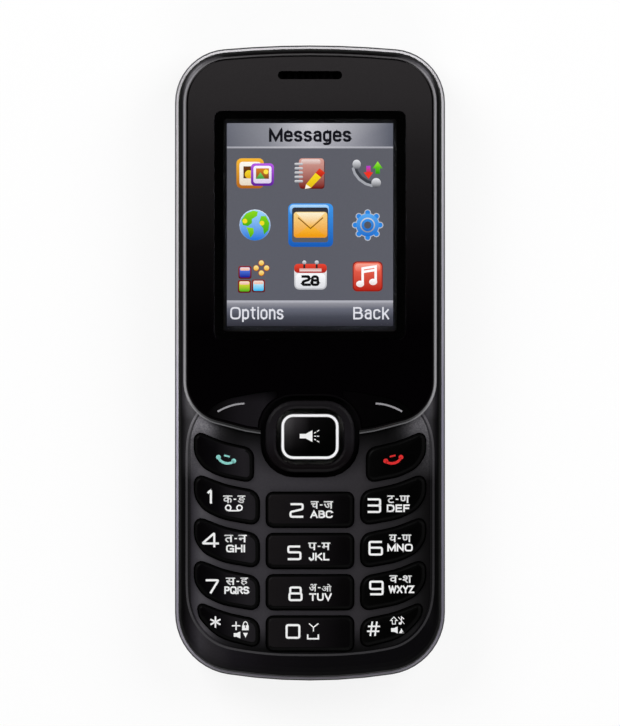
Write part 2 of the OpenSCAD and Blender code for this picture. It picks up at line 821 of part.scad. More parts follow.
module earpiece_grille() {
    slats = 8;
    slat_end = 0.15;
    color([0.02, 0.02, 0.02])
        difference() {
            plate(slot_outline(grille_rim - seam), housing_z1 - grille_seat, housing_z1 - grille_sink);
            for (k = [0:slats - 1])
                block(slot_x / slats / 2, slot_h - 2 * slat_end, 0, body_t,
                      [(k + 0.5 - slats / 2) * slot_x / (slats + 1), slot_y]);
        }
}

panel_w = screen_x + 2 * panel_border;
panel_h = screen_y + 2 * panel_border;
tray_z1 = board_z1 + tray_h;
panel_z1 = plate_z0 - gasket_t;

module lcd_tray() {
    gap = 0.1;
    color([0.85, 0.85, 0.82])
        difference() {
            block(panel_w + 2 * tray_wall, panel_h + 2 * tray_wall, board_z1, tray_z1, [0, lens_y]);
            block(panel_w + gap, panel_h + gap, panel_z1 - panel_t, body_t, [0, lens_y]);
        }
}

module lcd_panel() {
    color([0.3, 0.32, 0.36])
        block(panel_w, panel_h, panel_z1 - panel_t, panel_z1, [0, lens_y]);
}

module lcd_gasket() {
    outside = 0.2;
    view = 0.3;
    color([0.05, 0.05, 0.05])
        difference() {
            block(panel_w - 2 * outside, panel_h - 2 * outside, panel_z1, plate_z0, [0, lens_y]);
            block(screen_x + 2 * view, screen_y + 2 * view, 0, body_t, [0, lens_y]);
        }
}

// Ribbon from the lower edge of the display down to the main board
module display_flex() {
    ribbon_w = 12;
    ribbon_t = 0.15;
    ribbon_l = 3;
    rise = 1.4;
    plug = [9, 1.6, 0.9];
    y1 = lens_y - panel_h / 2 - tray_wall - seam;
    y0 = y1 - ribbon_l;
    color([0.75, 0.45, 0.12]) {
        block(ribbon_w, ribbon_t, board_z1, board_z1 + rise, [0, y1 - ribbon_t / 2]);
        block(ribbon_w, ribbon_l, board_z1, board_z1 + ribbon_t, [0, (y0 + y1) / 2]);
        block(plug[0], plug[1], board_z1, board_z1 + plug[2], [0, y0 + plug[1] / 2]);
    }
}

// Keypad

function side_points(shape, row, inner) =
    [for (q = shape)
        [-side_outer + q[0] * (side_outer - inner), side_top - side_pitch * (row + q[1])]];

function side_fillets(shares, inner) =
    [for (r = shares) r * (side_outer - inner) * min(1, along)];

// A key is its outline, its fillets and the place of its stem
function side_key(row, inner) =
    [side_points(SIDE_KEY, row, inner), side_fillets(SIDE_KEY_R, inner)];
function low_key(row) =
    [side_points(LOW_KEY, row, side_inner), side_fillets(LOW_KEY_R, side_inner)];
function mid_key(row) =
    [rectangle(mid_key_x, mid_key_l, [0, mid_top - mid_key_l / 2 - mid_pitch * row]),
     [for (i = [0:3]) mid_key_r]];

function key_outline(key, d) = inset_rounded(key[0], key[1], d);
function key_middle(key) = let (p = middle(lifted(key_outline(key, 0), 0))) [p[0], p[1]];

LEFT_KEYS = [side_key(-1, call_inner), side_key(0, side_inner), side_key(1, side_inner),
             side_key(2, side_inner), low_key(rows - 1)];
MID_KEYS = [for (row = [0:rows - 1]) mid_key(row)];

module key_well(key) {
    plate(key_outline(key, 0), 0, body_t);
}

// Key cap with rounded shoulders, its lip under the frame and the stem over its dome
module key(key) {
    d = key_gap;
    union() {
        loft([lifted(key_outline(key, d), lip_z1 - bite),
              lifted(key_outline(key, d), key_z1 - key_shoulder),
              lifted(key_outline(key, d + 0.3 * key_shoulder), key_z1 - 0.3 * key_shoulder),
              lifted(key_outline(key, d + key_shoulder), key_z1)], key_crown);
        intersection() {
            plate(key_outline(key, -key_lip), lip_z0, lip_z1);
            keypad_opening(lip_z0 - bite, lip_z1 + bite, frame_ledge + lip_side_gap);
        }
        post(stem_r, stem_z0, lip_z0 + bite, key_middle(key));
    }
}

module left_key(i) {
    color([0.05, 0.05, 0.055])
        key(LEFT_KEYS[i]);
}

module right_key(i) {
    mirror([1, 0, 0])
        left_key(i);
}

module middle_key(i) {
    color([0.05, 0.05, 0.055])
        key(MID_KEYS[i]);
}

module nav_well() {
    plate(pill(nav_well_w, nav_well_h, nav_well_r, [0, nav_y]), 0, body_t);
}

// Wing between the fascia's lower rim, an arc and the navigation ring's well
module soft_shape(grow, web) {
    difference() {
        intersection() {
            polygon(crowned(fascia_spec, soft_rim - grow));
            translate([0, soft_arc_y - soft_arc_r])
                circle(r = soft_arc_r + grow, $fn = arc_fn);
            translate([-half_w, nav_y - nav_well_h])
                square([half_w - soft_inner * across + grow, 2 * nav_well_h]);
            polygon(crowned(keypad_spec, frame_ledge + soft_gap - grow));
        }
        polygon(pill(nav_well_w + 2 * web, nav_well_h + 2 * web, nav_well_r + web, [0, nav_y]));
    }
}

module soft_well() {
    linear_extrude(body_t)
        soft_shape(0, soft_web);
}

module soft_wells() {
    soft_well();
    mirror([1, 0, 0])
        soft_well();
}

soft_stem_x = 12.5;
soft_stem_drop = 4.4;
soft_stem = [-soft_stem_x * across, soft_arc_y - soft_stem_drop * along];
soft_sink = 0.08;

module soft_key() {
    color([0.06, 0.06, 0.065])
        union() {
            translate([0, 0, lip_z0 + bite])
                linear_extrude(fascia_z1 - soft_sink - lip_z0 - bite)
                    soft_shape(-soft_gap, soft_web + soft_gap);
            translate([0, 0, lip_z0])
                linear_extrude(lip_z1 - lip_z0)
                    intersection() {
                        soft_shape(key_lip, soft_web + soft_gap);
                        polygon(crowned(keypad_spec, frame_ledge + 2 * soft_gap));
                    }
            post(stem_r, stem_z0, lip_z0 + bite, soft_stem);
        }
}

module keypad_frame() {
    color([0.22, 0.21, 0.225])
        difference() {
            keypad_opening(frame_z0, housing_z1, seam);
            for (k = LEFT_KEYS) {
                key_well(k);
                mirror([1, 0, 0])
                    key_well(k);
            }
            for (k = MID_KEYS)
                key_well(k);
            soft_wells();
            nav_well();
        }
}

// Navigation ring, whose lip stays under the frame while it tilts
module nav_ring() {
    c = [0, nav_y];
    function outer(d) = pill(nav_x - 2 * d, nav_l - 2 * d, nav_r - d, c);
    function inner(d) = pill(nav_hole_x + 2 * d, nav_hole_l + 2 * d, nav_hole_r + d, c);
    // Section over the lip: inset and drop from the top, up the outside and down the inside
    edge = 0.4 * nav_end;
    drop = 0.6;
    outside = [[0, drop], [0.3 * edge, drop / 3], [edge, 0]];
    inside = [[0.8 * edge, drop / 12], [0.2 * edge, 0.4 * drop], [0, drop]];
    rod_y = nav_l / 2 - ring_rod_in;
    color([0.1, 0.1, 0.105])
        union() {
            ring_loft(concat([lifted(outer(0), nav_lip_z0 + bite)],
                             [for (p = outside) lifted(outer(p[0]), body_t - p[1])],
                             [for (p = inside) lifted(inner(p[0]), body_t - p[1])],
                             [lifted(inner(0), nav_lip_z0 + bite)]));
            difference() {
                plate(outer(-nav_lip), nav_lip_z0, nav_lip_z1);
                plate(inner(0), nav_lip_z0 - bite, nav_lip_z1 + bite);
            }
            for (side = [-1, 1])
                bar_y(ring_rod_r, nav_y + side * rod_y - ring_rod_l / 2,
                      nav_y + side * rod_y + ring_rod_l / 2, 0, ring_axis_z);
        }
}

// Soft plate under the ring, which rocks the other way on two round ribs
module nav_rocker() {
    hole_side = 1.5;
    hole_end = 1.2;
    hole_r = 1.4;
    rod_x = (rocker_w - rocker_rod_l) / 2;
    color([0.5, 0.5, 0.48])
        union() {
            difference() {
                plate(pill(rocker_w, rocker_h, nav_r - rocker_in, [0, nav_y]), rocker_z0, rocker_z1);
                plate(pill(select_x - 2 * hole_side, select_l - 2 * hole_end, hole_r, [0, nav_y]),
                      0, body_t);
            }
            for (side = [-1, 1])
                bar_x(rocker_rod_r, side * rod_x - rocker_rod_l / 2, side * rod_x + rocker_rod_l / 2,
                      nav_y, rocker_axis_z);
        }
}

select_sink = 0.35;
select_z1 = body_t - select_sink;
select_z0 = rocker_z1 + tilt_room + key_travel;
select_ring_t = 0.4;

function select_outline(d) = pill(select_x - 2 * d, select_l - 2 * d, select_r - d, [0, nav_y]);

module select_key() {
    flat = 0.3;
    crown = 0.1;
    color([0.04, 0.04, 0.045])
        difference() {
            union() {
                loft([lifted(select_outline(0), select_z0), lifted(select_outline(0), select_z1),
                      lifted(select_outline(select_line + flat), select_z1)], crown);
                post(stem_r, stem_z0, select_z0 + bite, [0, nav_y]);
            }
            // Step that the bright ring sits on
            difference() {
                plate(select_outline(-past), select_z1 - select_ring_t, body_t);
                plate(select_outline(select_line), select_z1 - select_ring_t - bite, body_t);
            }
        }
}

module select_ring() {
    outer_round = 0.15;
    inner_round = 0.1;
    // Section: inset and drop from the top, up the outside and down the inside
    section = [[0, select_ring_t], [0, outer_round], [outer_round, 0], [select_line - inner_round, 0],
               [select_line, inner_round / 2], [select_line, select_ring_t]];
    color([0.92, 0.92, 0.93])
        ring_loft([for (p = section) lifted(select_outline(p[0]), select_z1 - p[1])]);
}

STEMS = concat([for (k = LEFT_KEYS) key_middle(k)],
               [for (k = LEFT_KEYS) let (p = key_middle(k)) [-p[0], p[1]]],
               [for (k = MID_KEYS) key_middle(k)],
               [soft_stem, [-soft_stem[0], soft_stem[1]], [0, nav_y]]);
nav_dome_in = 1;
nav_dome_x = nav_x / 2 - nav_dome_in;
nav_dome_y = nav_l / 2 - nav_dome_in;
NAV_DOMES = [[0, nav_y + nav_dome_y], [0, nav_y - nav_dome_y], [-nav_dome_x, nav_y], [nav_dome_x, nav_y]];

// Rubber sheet that stands on its rim over the domes
module keypad_membrane() {
    edge = frame_ledge + mat_side_gap;
    color([0.45, 0.45, 0.44])
        difference() {
            union() {
                keypad_opening(mat_z0, mat_z1, edge);
                difference() {
                    keypad_opening(board_z1, mat_z0 + bite, edge);
                    keypad_opening(board_z1 - bite, mat_z0 + 2 * bite, edge + mat_rim);
                }
            }
            for (p = STEMS)
                post(stem_r + stem_side_gap, 0, body_t, p);
        }
}

module key_domes() {
    color([0.8, 0.78, 0.7])
        for (p = concat(STEMS, NAV_DOMES))
            translate([p[0], p[1], board_z1])
                cylinder(r1 = dome_r, r2 = dome_top_r, h = dome_h);
}

// Electronics

module main_board() {
    hole_gap = 0.25;
    notch_gap = 0.2;
    notch_y0 = jack_y1 - jack_l - jack_end - notch_gap;
    color([0.08, 0.32, 0.18])
        difference() {
            plate(crowned(body_spec, band_t + seam + wall + board_gap), board_z0, board_z1);
            block(jack_w + 2 * notch_gap, top_y - notch_y0, 0, body_t, [jack_at, (top_y + notch_y0) / 2]);
            for (s = SCREWS)
                post(screw_r + hole_gap, 0, body_t, s);
        }
}

module earpiece_speaker() {
    color([0.6, 0.6, 0.58])
        difference() {
            block(ear_w, ear_l, board_z1, plate_z0, [0, slot_y - ear_below]);
            plate(pill(slot_x - 2 * ear_port_in, slot_h, slot_r, [0, slot_y]),
                  plate_z0 - ear_port_h, body_t);
        }
}

module microphone() {
    color([0.7, 0.7, 0.68])
        post(mic_r, board_z0 - mic_r, board_z0, [mic_x, mic_y]);
}

shaft_r = 0.4;
shaft_l = 4.2;
weight_in = 0.1;
weight_r = motor_r - weight_in;
weight_l = 3.4;

module vibration_motor() {
    x1 = motor_at[0] + motor_l;
    saddle_end = 1.5;
    saddle_side = 0.5;
    color([0.75, 0.75, 0.76])
        union() {
            bar_x(motor_r, motor_at[0], x1, motor_at[1], motor_at[2]);
            bar_x(shaft_r, x1 - bite, x1 + shaft_l, motor_at[1], motor_at[2]);
            // Saddle that holds the motor to the board
            block(motor_l - 2 * saddle_end, 2 * (motor_r - saddle_side),
                  motor_at[2] + 0.6 * motor_r, board_z0, [motor_at[0] + motor_l / 2, motor_at[1]]);
        }
}

// Half-round weight on the motor's shaft
module vibration_weight() {
    motor_face_gap = 0.4;
    hub_wall = 0.5;
    shaft_gap = 0.04;
    x0 = motor_at[0] + motor_l + motor_face_gap;
    color([0.6, 0.58, 0.55])
        translate([x0, motor_at[1], motor_at[2]])
            rotate([0, 90, 0])
                difference() {
                    union() {
                        cylinder(r = shaft_r + hub_wall, h = weight_l);
                        intersection() {
                            cylinder(r = weight_r, h = weight_l);
                            translate([0, -weight_r - past, -bite])
                                cube([weight_r + past, 2 * (weight_r + past), weight_l + 2 * bite]);
                        }
                    }
                    translate([0, 0, -bite])
                        cylinder(r = shaft_r + shaft_gap, h = weight_l + 2 * bite);
                }
}

module loudspeaker() {
    room = board_z0 - shield_h - cover_t;
    color([0.2, 0.2, 0.2])
        union() {
            block(speaker_w, speaker_l, cover_t, cover_t + 0.58 * room, speaker_at);
            post(0.4 * speaker_l, cover_t + 0.5 * room, cover_t + 0.75 * room, speaker_at);
        }
}

module battery() {
    mid = [0, battery_y0 + bay_y / 2];
    corner_r = 2;
    color([0.25, 0.27, 0.3])
        plate(pill(bay_x, bay_y, corner_r, mid), battery_z0, battery_z1);
}

// Carrier with three sprung contacts that meet the battery's end
module battery_contacts() {
    finger = [1.2, 0.7, 2];
    finger_pitch = 2.6;
    finger_drop = 0.6;
    carrier_h = 3;
    end_gap = 0.1;
    behind = 0.4;
    sink = 0.2;
    y0 = battery_y1 + end_gap;
    y1 = battery_y1 + battery_gap + bay_wall + behind;
    carrier_y0 = y0 + finger[1] - sink;
    finger_z1 = floor_z0 - finger_drop;
    color([0.85, 0.7, 0.35]) {
        block(contact_w, y1 - carrier_y0, floor_z0 - carrier_h, board_z0, [0, (carrier_y0 + y1) / 2]);
        for (x = [-1:1])
            block(finger[0], finger[1], finger_z1 - finger[2], finger_z1,
                  [finger_pitch * x, y0 + finger[1] / 2]);
    }
}

// Card sockets: two beside each other in the upper half of the bay, one in the lower half
socket_gap = 0.2;
socket_w = 0.43 * bay_x;
socket_l = 0.32 * bay_y;
SOCKET_1 = [-0.24 * bay_x, battery_y0 + 0.717 * bay_y];
SOCKET_2 = [0.24 * bay_x, battery_y0 + 0.717 * bay_y];
SOCKET_3 = [0, battery_y0 + 0.32 * bay_y];

module socket_openings() {
    for (s = [SOCKET_1, SOCKET_2, SOCKET_3])
        block(socket_w + 2 * socket_gap, socket_l + 2 * socket_gap, 0, body_t, s);
}

// Thin metal frame that a card slides under
module card_socket(at) {
    sheet_low = 0.3;
    sheet_high = 0.25;
    side = 0.8;
    mouth = 1;
    z0 = floor_z0;
    color([0.78, 0.78, 0.76])
        difference() {
            block(socket_w, socket_l, z0, board_z0, at);
            block(socket_w - 2 * side, socket_l, z0 + sheet_low, board_z0 - sheet_high, at - [0, side]);
            block(0.66 * socket_w, 0.6 * socket_l, z0 - bite, z0 + sheet_low + bite, at - [0, mouth]);
        }
}

module usb_port() {
    sheet = 0.35;
    back = 0.6;
    tongue_t = 0.55;
    tongue_side = 1.8;
    tongue_front = 0.6;
    z0 = board_z0 - usb_h;
    color([0.75, 0.75, 0.74])
        union() {
            difference() {
                translate([-usb_w / 2, usb_y0, z0])
                    cube([usb_w, usb_l, usb_h]);
                translate([-usb_w / 2 + sheet, usb_y0 - bite, z0 + sheet])
                    cube([usb_w - 2 * sheet, usb_l - back + bite, usb_h - 2 * sheet]);
            }
            translate([-usb_w / 2 + tongue_side, usb_y0 + tongue_front, z0 + 0.52 * usb_h])
                cube([usb_w - 2 * tongue_side, usb_l - tongue_front - bite, tongue_t]);
        }
}

module audio_jack() {
    length = jack_l + jack_end;
    color([0.12, 0.12, 0.12])
        difference() {
            block(jack_w, length, jack_z - jack_h / 2, board_z1, [jack_at, jack_y1 - length / 2]);
            bar_y(jack_r, jack_y1 - jack_l, jack_y1 + bite, jack_at, jack_z);
        }
}

module camera_module() {
    box_z0 = cover_t + 1.8;
    window_gap_z = 0.1;
    color([0.1, 0.1, 0.1])
        union() {
            block(camera_box, camera_box, box_z0, board_z0, [0, camera_y]);
            post(0.9 * camera_r, cover_t + window_gap_z, box_z0 + bite, [0, camera_y]);
        }
}

module camera_window() {
    sink = 0.25;
    inside = 0.1;
    color([0.1, 0.1, 0.12, 0.6])
        post(camera_r, sink, cover_t + inside, [0, camera_y]);
}

module torch_led() {
    box = [3.6, 2];
    box_below = 1.6;
    bulb_r = 1;
    bulb_l = 1;
    bulb_gap = 0.1;
    bulb_y0 = torch_y - bulb_gap - bulb_l;
    color([0.95, 0.9, 0.6])
        union() {
            block(box[0], box[1], torch_z - box_below, board_z0, [torch_at, bulb_y0 + bite - box[1] / 2]);
            bar_y(bulb_r, bulb_y0, torch_y - bulb_gap, torch_at, torch_z);
        }
}

module torch_lens() {
    color([0.9, 0.9, 0.92, 0.6])
        bar_y(torch_r, torch_y, torch_y + torch_lens_l, torch_at, torch_z);
}

module shield_can() {
    at = [speaker_at[0], camera_y - camera_box / 2 - 0.2 - shield_l / 2];
    color([0.7, 0.7, 0.7])
        difference() {
            block(shield_w, shield_l, board_z0 - shield_h, board_z0, at);
            block(shield_w - 2 * shield_wall, shield_l - 2 * shield_wall,
                  board_z0 - shield_h + shield_wall, body_t, at);
        }
}

// Carrier with a raised metal loop
module antenna() {
    at = [antenna_x * across, camera_y + antenna_over * along];
    w = antenna_w * across;
    l = antenna_l * along;
    z0 = board_z0 - antenna_h;
    loop_in = 0.5;
    hole_in = 2;
    loop_rise = 0.2;
    loop_shift = [1, -0.5];
    color([0.8, 0.6, 0.3])
        union() {
            block(w, l, z0, board_z0, at);
            difference() {
                block(w - 2 * loop_in, l - 2 * loop_in, z0 - loop_rise, z0 + bite, at);
                block(w - 2 * hole_in, l - 2 * hole_in, z0 - past, z0, at + loop_shift);
            }
        }
}

module housing_screws() {
    color([0.75, 0.75, 0.74])
        for (s = SCREWS) {
            post(screw_r, head_z1 - bite, board_z1 + thread_l, s);
            post(head_r, head_z0, head_z1, s);
        }
}

front_housing();
trim_band();
rear_housing();
battery_cover();
fascia();
display_lens();
earpiece_grille();
keypad_frame();
left_key(1);  // key_1
middle_key(0);  // key_2
right_key(1);  // key_3
left_key(2);  // key_4
middle_key(1);  // key_5
right_key(2);  // key_6
left_key(3);  // key_7
middle_key(2);  // key_8
right_key(3);  // key_9
left_key(4);  // key_star
middle_key(3);  // key_0
right_key(4);  // key_hash
left_key(0);  // key_call
right_key(0);  // key_end
soft_key();  // soft_key_left
mirror([1, 0, 0]) soft_key();  // soft_key_right
nav_ring();
nav_rocker();
select_key();
select_ring();
keypad_membrane();
key_domes();
main_board();
lcd_panel();
lcd_tray();
lcd_gasket();
display_flex();
earpiece_speaker();
microphone();
vibration_motor();
vibration_weight();
loudspeaker();
battery();
battery_contacts();
card_socket(SOCKET_1);  // sim_socket_1
card_socket(SOCKET_2);  // sim_socket_2
card_socket(SOCKET_3);  // memory_card_socket
usb_port();
audio_jack();
camera_module();
camera_window();
torch_led();
torch_lens();
shield_can();
antenna();
housing_screws();
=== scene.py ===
"""Looks of a candy-bar feature phone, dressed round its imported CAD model.

Lengths are in millimetres and become metres where a mesh, lamp or camera is made.
X runs across the phone, Y towards the earpiece and Z out of the screen.
"""

import math

import bmesh
import bpy
from mathutils import Matrix, Vector
from mathutils.bvhtree import BVHTree


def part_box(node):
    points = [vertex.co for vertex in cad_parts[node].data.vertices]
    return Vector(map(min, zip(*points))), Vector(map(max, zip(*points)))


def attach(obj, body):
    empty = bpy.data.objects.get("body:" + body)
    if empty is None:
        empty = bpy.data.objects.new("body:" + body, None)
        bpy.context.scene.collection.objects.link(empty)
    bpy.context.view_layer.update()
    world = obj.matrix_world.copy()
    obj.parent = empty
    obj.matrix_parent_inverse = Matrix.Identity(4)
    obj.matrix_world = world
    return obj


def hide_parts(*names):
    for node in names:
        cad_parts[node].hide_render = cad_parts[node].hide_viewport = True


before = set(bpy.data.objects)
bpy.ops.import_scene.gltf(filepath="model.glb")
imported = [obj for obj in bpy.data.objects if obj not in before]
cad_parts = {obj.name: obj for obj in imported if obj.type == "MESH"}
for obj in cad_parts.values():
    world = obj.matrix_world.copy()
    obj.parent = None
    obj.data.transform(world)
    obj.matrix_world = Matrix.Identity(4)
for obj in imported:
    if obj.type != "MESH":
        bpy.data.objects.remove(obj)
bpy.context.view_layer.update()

MM = 0.001
# The photograph: its height and the pixel over the phone's middle, in pixels, and the size of a pixel in mm
PHOTO_H = 726
PHOTO_MIDDLE = (310, 363)
PIXEL = 0.17

# Body of all that doesn't move
PHONE = "phone"


def from_photo(px, py):
    """Place on the phone, in mm, of a pixel of the photograph."""
    return Vector(((px - PHOTO_MIDDLE[0]) * PIXEL, (PHOTO_MIDDLE[1] - py) * PIXEL))


def box_mm(node):
    """Lowest and highest corner of a CAD node in mm."""
    low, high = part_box(node)
    return low / MM, high / MM


def linear(code):
    """Linear colour of an sRGB code such as 38363a."""
    parts = [int(code[i:i + 2], 16) / 255 for i in (0, 2, 4)]
    return tuple(c / 12.92 if c <= 0.04045 else ((c + 0.055) / 1.055) ** 2.4 for c in parts) + (1.0,)


def dimmed(code, share):
    """Linear colour of an sRGB code, at a share of its light."""
    return tuple(share * c for c in linear(code)[:3]) + (1.0,)


def grey(value):
    return (value, value, value, 1.0)


def tone(value):
    """Linear colour of an sRGB code, of a grey level or of a colour that is linear already."""
    if isinstance(value, str):
        return linear(value)
    return value if isinstance(value, tuple) else grey(value)


# Materials

# Levels of a noise between which a mottled tone changes
MOTTLE_LOW, MOTTLE_HIGH = 0.3, 0.7
# Brushed metal: size, detail, stretch and depth of its lines, and the light left in the darkest of them
BRUSH_SIZE, BRUSH_DETAIL, BRUSH_STRETCH, BRUSH_DEPTH, BRUSH_DARK = 0.6, 4.0, (1, 12, 1), 0.003, 0.7
# Light of the display, a little over 1 for what its cover lens takes away
SCREEN_GLOW = 1.12


def put(tree, socket, value):
    """Links an output to a socket, or sets a constant on it."""
    if isinstance(value, bpy.types.NodeSocket):
        tree.links.new(value, socket)
    else:
        socket.default_value = value


def add_node(tree, kind, inputs=None, **settings):
    """New shader node with its settings and its inputs, each an output or a constant. Gives its outputs."""
    made = tree.nodes.new("ShaderNode" + kind)
    for key, value in settings.items():
        setattr(made, key, value)
    for socket, value in (inputs or {}).items():
        put(tree, made.inputs[socket], value)
    return made.outputs


def add_ramp(tree, factor, stops):
    """Tones along a 0 to 1 factor; stops are (place, tone)."""
    made = tree.nodes.new("ShaderNodeValToRGB")
    elements = made.color_ramp.elements
    elements.remove(elements[1])
    elements[0].position = stops[0][0]
    elements[0].color = tone(stops[0][1])
    for place, value in stops[1:]:
        elements.new(place).color = tone(value)
    tree.links.new(factor, made.inputs["Fac"])
    return made.outputs["Color"]


class Shader:
    """A node material with a Principled surface and short calls for its usual inputs."""

    def __init__(self, name):
        self.material = bpy.data.materials.new(name)
        self.material.use_nodes = True
        self.tree = self.material.node_tree
        self.surface = self.tree.nodes["Principled BSDF"].inputs
        self.place = self.node("TexCoord")

    def node(self, kind, inputs=None, **settings):
        return add_node(self.tree, kind, inputs, **settings)

    def set(self, **sockets):
        """Outputs and constants straight on the surface's own sockets. Gives the material."""
        for key, value in sockets.items():
            put(self.tree, self.surface[key.replace("_", " ")], value)
        return self.material

    def noise(self, size, detail=2.0, stretch=(1, 1, 1)):
        """Noise whose grains are about size mm across, in the object's own place."""
        place = self.node("Mapping", {"Vector": self.place["Object"], "Scale": stretch})["Vector"]
        return self.node("TexNoise", {"Vector": place, "Scale": 1 / (size * MM), "Detail": detail})["Fac"]

    def mottle(self, noise, dark, light):
        """Tones that wander between two with a noise."""
        return add_ramp(self.tree, noise, [(MOTTLE_LOW, dark), (MOTTLE_HIGH, light)])

    def span(self, axis, start, end, coordinates="Object"):
        """0 to 1 between two places along an axis, in mm, or in shares of the piece's own box."""
        unit = MM if coordinates == "Object" else 1
        split = self.node("SeparateXYZ", {"Vector": self.place[coordinates]})
        return self.node("MapRange", {"Value": split[axis], "From Min": start * unit,
                                      "From Max": end * unit})["Result"]

    def along(self, axis, stops, coordinates="Object", zero=0):
        """Tones at places along an axis, in mm from zero, or in shares of the piece's own box."""
        start, end = stops[0][0], stops[-1][0]
        shares = [((place - start) / (end - start), value) for place, value in stops]
        return add_ramp(self.tree, self.span(axis, zero + start, zero + end, coordinates), shares)

    def blend(self, factor, first, second, how="MIX"):
        """Mix of two tones; each of the three is an output or a constant."""
        return self.node("Mix", {0: factor, 6: first, 7: second}, data_type="RGBA", blend_type=how)[2]

    def times(self, first, *others):
        """Product of tones."""
        for other in others:
            first = self.blend(1.0, first, other, "MULTIPLY")
        return first

    def grained(self, colour, amount, size):
        """The colour with a fine darker and lighter grain over it."""
        return self.times(colour, self.mottle(self.noise(size), 1 - amount, 1.0))

    def wander(self, factor, low, high):
        """Value that wanders between two with a factor."""
        return self.node("MapRange", {"Value": factor, "To Min": low, "To Max": high})["Result"]

    def bump(self, height, depth):
        """Normals of a fine relief of about depth mm."""
        return self.node("Bump", {"Height": height, "Distance": depth * MM})["Normal"]

    def finish(self, colour, grain, rough, relief, **sockets):
        """Colour under a grain (amount, size), roughness (size, low, high) and relief (size, depth)."""
        return self.set(Base_Color=self.grained(colour, *grain),
                        Roughness=self.wander(self.noise(rough[0]), *rough[1:]),
                        Normal=self.bump(self.noise(relief[0]), relief[1]), **sockets)


def plain(name, code, rough=(0.3, 0.4), grain=0.15, size=0.4, depth=0.004, **sockets):
    """Moulded plastic, rubber or metal of one colour with grain, uneven gloss and fine relief."""
    shader = Shader(name)
    return shader.set(Base_Color=shader.mottle(shader.noise(size), dimmed(code, 1 - grain), code),
                      Roughness=shader.wander(shader.noise(3 * size), *rough),
                      Normal=shader.bump(shader.noise(size / 3), depth), **sockets)


def brushed(name, code, rough=(0.25, 0.4)):
    """Metal with a fine brushed grain across the phone."""
    shader = Shader(name)
    lines = shader.noise(BRUSH_SIZE, BRUSH_DETAIL, BRUSH_STRETCH)
    return shader.set(Base_Color=shader.mottle(lines, dimmed(code, BRUSH_DARK), code), Metallic=1.0,
                      Roughness=shader.wander(lines, *rough), Normal=shader.bump(lines, BRUSH_DEPTH))


def fascia_finish():
    """Polished black with a painted reflection that is paler towards the earpiece, and a painted highlight on
    its bevelled edge, thin at its lower end.
    """
    top = box_mm("fascia")[1].z
    shader = Shader("fascia_polish_painted_light")
    # Painted reflection on the face, paler towards the earpiece
    face = shader.along("Y", [(6, "010001"), (19, "0c0a0b"), (36, "1e1c1d"), (45, "2a2829"), (53, "2e2c2d")])
    # Painted highlight along the bevel, dimmer at both ends of the fascia
    bevel_highlight = shader.along("Y", [(-12.5, "6a6a6c"), (-6, "98979a"), (40, "8e8c91"), (49, "868488"),
                               (51, "504e50"), (52.2, "302e2f")])
    wide = shader.along("Z", [(-0.56, 0.35), (-0.42, 1.0), (-0.24, 1.0), (-0.1, 0.2), (-0.04, 0.0)], zero=top)
    thin = shader.along("Z", [(-0.56, 0.8), (-0.46, 1.0), (-0.38, 0.8), (-0.28, 0.1), (-0.2, 0.0)], zero=top)
    bevel = shader.blend(shader.span("Y", -6, -10), wide, thin)
    return shader.finish(shader.blend(bevel, face, bevel_highlight), (0.08, 0.3), (8, 0.08, 0.12), (2.5, 0.002),
                         Specular_IOR_Level=0.3)


def housing_finish():
    """Black moulded shell with painted grey highlights near its sides beside the fascia's lower end, painted
    shade down its walls, and a chin painted paler at the left.
    """
    low, high = box_mm("front_housing")
    shader = Shader("housing_satin_painted_light")
    # Painted highlight: pale grey bands near both sides, fading downwards and down the walls
    flank = shader.along("X", [(-22, "010101"), (-21.8, "1c1a1d"), (-21.4, "3a383c"), (-20.8, "666468"),
                               (-20, "848286"), (-19, "7c7a7e"), (-17.5, "504e52"), (-14.5, "0d0c0e"),
                               (-10, "020102"), (10, "020102"), (14.5, "0d0c0e"), (17.5, "464448"),
                               (19, "66646a"), (20, "706e74"), (20.7, "5e5c60"), (20.9, "484649"),
                               (21.3, "28262a"), (21.6, "100f11"), (21.8, "020202")])
    lit = shader.along("Y", [(-20, 0.05), (-16.5, 0.25), (-9.7, 0.22), (-8, 0.5), (-6, 1.0)])
    rim = shader.along("Z", [(-0.8, 0.05), (-0.4, 0.35), (-0.15, 1.0)], zero=high.z)
    # Painted light and shade on the chin: paler at the left, darker down its walls
    across = shader.along("X", [(-21.6, "040304"), (-20.6, "151316"), (-19.6, "28262a"), (-18.7, "343236"),
                                (-17, "2a282b"), (-13, "18161a"), (-7.5, "0f0d10"), (0, "0a090b"),
                                (20, "080709")])
    slope = shader.along("Z", [(-4, 0.0), (-1.5, 0.25), (0, 1.0)], zero=high.z)
    chin = shader.along("Y", [(8, 1.0), (14, 0.0)], zero=low.y)
    shade = shader.blend(chin, shader.times(flank, lit, rim), shader.times(across, slope))
    return shader.finish(shade, (0.15, 0.3), (1.2, 0.5, 0.6), (0.15, 0.003), Specular_IOR_Level=0.02)


